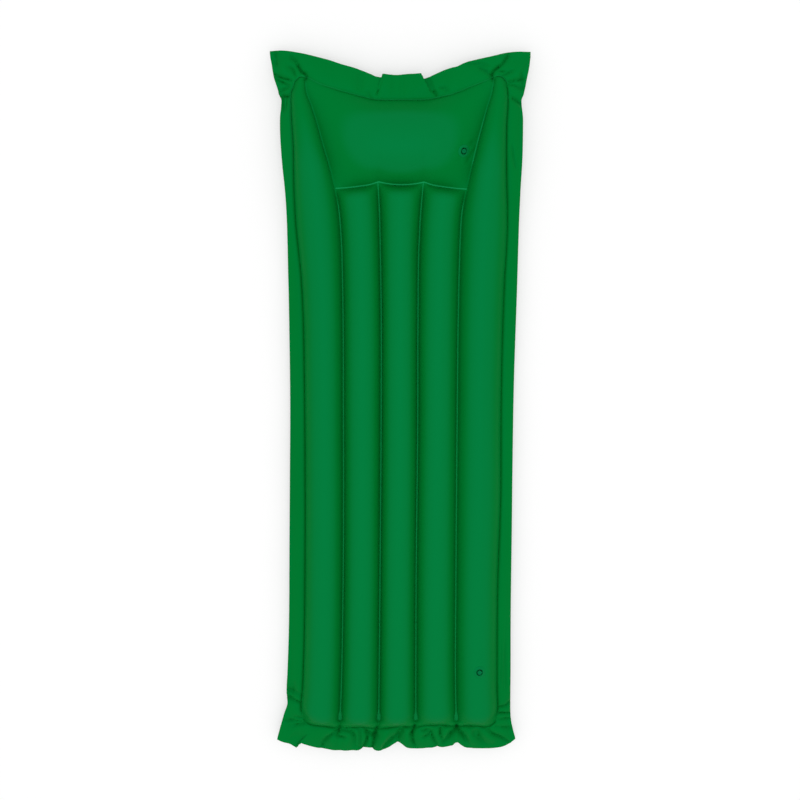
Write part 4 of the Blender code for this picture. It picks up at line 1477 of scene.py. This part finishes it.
    def _flange(self) -> bpy.types.Object:
        """Ring welded on the film, with a bead round its bore and a stepped rim, laid to the film's curve.

        Returns:
            The ring, in the valve's own frame.
        """
        bore, rim, base = self.flange_bore, self.flange_radius, self.seat_gap
        face = base + self.flange_thickness
        profile = [(bore, base), *self._corners(self.flange_bead, bore, face),
                   *self._corners(self.flange_rim, rim, face), (rim, base + self.edge), (rim, base)]
        ring = self._lathe(profile)
        frame = self.frame()
        axis = np.array(frame.to_3x3() @ Vector((0.0, 0.0, 1.0)))
        local = points_of(ring.data)
        turn = np.array(frame.to_3x3())
        flat = np.column_stack([local[:, :2], np.zeros(len(local))]) @ turn.T + np.array(frame.translation)
        point = flat.copy()
        for _ in range(self.laying_rounds):
            above = self.films.face(point[:, 0], point[:, 1]) - point[:, 2]
            point += np.outer(above * axis[2], axis)
        local[:, 2] += (point - flat) @ axis
        set_points(ring.data, local)
        return ring

    def _stem(self) -> bpy.types.Object:
        """Short tube with a rolled bead round its mouth, ribs below it and a collar round its foot.

        Returns:
            The tube, in the valve's own frame.
        """
        bore, bead, wall, collar = self.stem_bore, self.stem_bead_radius, self.stem_radius, self.collar_radius
        top, bottom = self.stem_top, self.stem_bottom
        bead_foot, collar_top = top - self.stem_bead_depth, bottom + self.collar_height
        profile = [(bore + self.mouth_edge, top), *self._corners(self.stem_bead_top, bead, top),
                   *self._corners(self.stem_bead_foot, bead, bead_foot), (wall, bead_foot)]
        for height in self.rib_heights:
            profile += self._corners(self.rib, wall, height)
        profile += [(wall, collar_top + self.mouth_edge), (collar, collar_top), (collar, bottom + self.edge),
                    (collar - self.edge, bottom), (bore + self.edge, bottom), (bore, bottom + self.edge),
                    (bore, top - self.mouth_edge)]
        return self._lathe(profile)

    def _neck(self) -> bpy.types.Object:
        """Thin collar, rolled inwards from the flange's bore to the stem's foot.

        Returns:
            The collar, in the valve's own frame.
        """
        half = self.neck_wall / 2
        outside = [(radius + half, height) for radius, height in self.neck_path]
        inside = [(radius - half, height) for radius, height in reversed(self.neck_path)]
        lip = self.collar_radius + self.seat_gap
        foot = [(lip + half, self.stem_bottom), (lip, self.stem_bottom + half)]
        return self._lathe(outside + foot + inside)

    def _plug(self) -> bpy.types.Object:
        """Tapered pin under a rimmed cap, with a tab that a finger lifts and a lug that holds the strap.

        Returns:
            The plug, in the valve's own frame.
        """
        seat = self.stem_top + self.seat_gap
        top = seat + self.cap_thickness
        cap, pin = self.cap_radius, self.pin_radius
        plug = self._stack([*self._corners(self.pin_tip, self.pin_tip_radius, seat - self.pin_length),
                            (pin, seat - self.pin_length * self.pin_widest), (pin, seat - self.pin_step),
                            (pin + self.pin_step, seat), (cap - self.edge, seat), (cap, seat + self.edge),
                            *self._corners(self.cap_rim, cap, top),
                            *((cap * share, top + upwards) for share, upwards in self.cap_dish)])
        below, above = self.cap_side_margins
        low, high = seat + below, top - above
        x, y, z = centres_of(plug.data).T
        tab = (x > cap * self.cap_side_share) & (np.abs(y) < cap * self.tab_half_share)
        select_faces(plug, tab & (z > low) & (z < high))
        for length, width, height in self.tab_steps:
            extrude((length, 0.0, 0.0))
            bpy.ops.transform.resize(value=(1.0, width, height))
        bpy.ops.object.mode_set(mode="OBJECT")
        x, y, z = centres_of(plug.data).T
        side = (x < 0) & (np.hypot(x, y) > cap * self.cap_side_share) & (z > low) & (z < high)
        select_faces(plug, side & (np.abs(y - self.strap_path[-1][1]) < self.lug_half_width))
        extrude((-self.lug_length, 0.0, 0.0))
        bpy.ops.object.mode_set(mode="OBJECT")
        return plug

    def _flap(self) -> bpy.types.Object:
        """Thin disc that closes the stem's foot from inside.

        Returns:
            The disc, in the valve's own frame.
        """
        top = self.stem_bottom - self.seat_gap
        low = top - self.flap_thickness
        return self._stack([*self._corners(self.flap_foot, self.flap_radius, low),
                            *self._corners(self.flap_top, self.flap_radius, top)])

    def _strap(self) -> bpy.types.Object:
        """Thin strip that ties the plug to the stem, looped down in the gap beside the stem.

        Returns:
            The strip, in the valve's own frame.
        """
        stations = np.arange(len(self.strap_path), dtype=float)
        places = np.linspace(0.0, stations[-1], self.strap_sections)
        curves = [Curve(tuple(zip(stations, axis))) for axis in zip(*self.strap_path)]
        path = np.stack([curve.at(places) for curve in curves], axis=1)
        ways = np.gradient(path, axis=0)
        angles = np.unwrap(np.arctan2(ways[:, 2], ways[:, 1]))
        deselect_all()
        bpy.ops.mesh.primitive_circle_add(vertices=self.strap_corners, radius=0.5, fill_type="NGON")
        strip = bpy.context.active_object
        bpy.ops.object.mode_set(mode="EDIT")
        bpy.ops.mesh.select_mode(type="FACE")
        bpy.ops.mesh.select_all(action="SELECT")
        bpy.ops.transform.resize(value=(self.strap_width, self.strap_thickness, 1.0))
        bpy.ops.transform.translate(value=tuple(path[0]))
        self._tip(path[0], angles[0] - math.pi / 2)
        for k in range(1, len(path)):
            extrude(tuple(path[k] - path[k - 1]))
            self._tip(path[k], angles[k] - angles[k - 1])
        return close_up(strip)

    def _tip(self, about: np.ndarray, angle: float) -> None:
        """Turn the selected end of the strap about the valve's +X direction, from +Y towards +Z.

        Args:
            about: The point that stays where it is.
            angle: How far it turns, in radians.
        """
        bpy.ops.transform.rotate(value=-float(angle), orient_axis="X", center_override=tuple(about))

    def build(self) -> None:
        """Make the valve's pieces, place them and say what each one stands for."""
        stem_body, flap_body, plug_body = self.bodies
        self._settle(self._flange(), "flange", VALVE_FINISH, "mattress")
        self._settle(self._stem(), "stem", VALVE_FINISH, stem_body)
        self._settle(self._flap(), "flap", VALVE_FINISH, flap_body)
        self._settle(self._plug(), "plug", PLUG_FINISH, plug_body)
        frame = self.frame()
        neck = self._settle(self._neck(), "neck", VALVE_FINISH, None)
        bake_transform(neck)
        strap = self._settle(self._strap(), "strap", PLUG_FINISH, None)
        frame @ Vector(self.strap_path[0])
        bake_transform(strap)
        LOG.info("%s: six pieces round %s", self.name, tuple(round(value, 4) for value in frame.translation))


# Studio


@dataclass
class Studio:
    """Pale floor, one wide soft lamp overhead, an even world and the camera above the mattress."""

    target: tuple[float, float, float] = (0.0, 0.0387, 0.04)
    distance: float = 3.2
    tilt_sine: float = 0.1536
    roll: float = 0.0061
    lens: float = 58.4
    floor_size: float = 40.0
    floor_drop: float = 0.001
    floor_albedo: float = 0.54
    floor_glow: float = 0.48
    floor_roughness: float = 0.9
    sensor_width: float = 36.0
    furthest: float = 60.0
    world_level: float = 0.80
    lamp_height: float = 4.2
    lamp_size: float = 2.4
    lamp_power: float = 40.0

    def _floor(self) -> bpy.types.Object:
        """Pale floor that keeps the shadow and reads white to the camera.

        Returns:
            The floor.
        """
        deselect_all()
        bpy.ops.mesh.primitive_plane_add(size=self.floor_size, location=(0.0, 0.0, -self.floor_drop))
        floor = bpy.context.active_object
        floor.name = "studio_floor"
        made = bpy.data.materials.new("studio_floor")
        made.use_nodes = True
        tree = made.node_tree
        shader = tree.nodes["Principled BSDF"]
        shader.inputs["Base Color"].default_value = (self.floor_albedo,) * 3 + (1.0,)
        shader.inputs["Roughness"].default_value = self.floor_roughness
        shader.inputs["Specular IOR Level"].default_value = 0.0
        shader.inputs["Emission Color"].default_value = (1.0, 1.0, 1.0, 1.0)
        ray = tree.nodes.new("ShaderNodeLightPath")
        seen = combine(tree, "MAXIMUM", ray.outputs["Is Camera Ray"], ray.outputs["Is Glossy Ray"])
        passed = combine(tree, "MAXIMUM", seen, ray.outputs["Is Transmission Ray"])
        glow = combine(tree, "MULTIPLY", passed)
        glow.node.inputs[1].default_value = self.floor_glow
        tree.links.new(glow, shader.inputs["Emission Strength"])
        floor.data.materials.append(made)
        return floor

    def _lights(self) -> None:
        """One wide lamp overhead and an even white world."""
        lamp = bpy.data.lights.new("overhead", "AREA")
        lamp.shape = "SQUARE"
        lamp.size = self.lamp_size
        lamp.energy = self.lamp_power
        holder = bpy.data.objects.new("overhead", lamp)
        holder.location = (0.0, 0.0, self.lamp_height)
        bpy.context.scene.collection.objects.link(holder)
        world = bpy.data.worlds.new("studio")
        world.use_nodes = True
        background = world.node_tree.nodes["Background"]
        background.inputs["Color"].default_value = (1.0, 1.0, 1.0, 1.0)
        background.inputs["Strength"].default_value = self.world_level
        bpy.context.scene.world = world

    def _camera(self) -> None:
        """Camera at the photograph's viewing angle."""
        data = bpy.data.cameras.new("camera")
        data.lens = self.lens
        data.sensor_width = self.sensor_width
        data.clip_end = self.furthest
        camera = bpy.data.objects.new("camera", data)
        bpy.context.scene.collection.objects.link(camera)
        away = Vector((0.0, self.tilt_sine, math.sqrt(1 - self.tilt_sine ** 2)))
        right = Vector((1.0, 0.0, 0.0))
        up = away.cross(right)
        upright = Matrix((right, up, away)).transposed()
        turned = upright @ Matrix.Rotation(self.roll, 3, "Z")
        camera.matrix_world = Matrix.Translation(Vector(self.target) + away * self.distance) @ turned.to_4x4()
        bpy.context.scene.camera = camera

    def build(self) -> None:
        """Set the stage."""
        self._camera()
        self._floor()
        self._lights()
        bpy.context.scene.view_settings.view_transform = "Standard"


def main() -> None:
    """Build every piece round the frame and set the stage."""
    logging.basicConfig(level=logging.INFO, format="%(name)s: %(message)s")
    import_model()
    Studio().build()
    pattern = Pattern()
    chambers = Chambers(pattern)
    films = Films(pattern, chambers, Skirt(pattern, chambers))
    sheets = ((Side.UPPER, "upper_film", "top_sheet"), (Side.LOWER, "lower_film", "bottom_sheet"))
    for side, name, node in sheets:
        film = films.build(side, name, (node,))
        LOG.info("%s: %d faces", name, len(film.data.polygons))
    Valve(films, "main_valve", films.valve_places[0], ("main_stem", "main_flap", "main_plug")).build()
    Valve(films, "pillow_valve", films.valve_places[1], ("pillow_stem", "pillow_flap", "pillow_plug")).build()


if __name__ == "__main__":
    main()
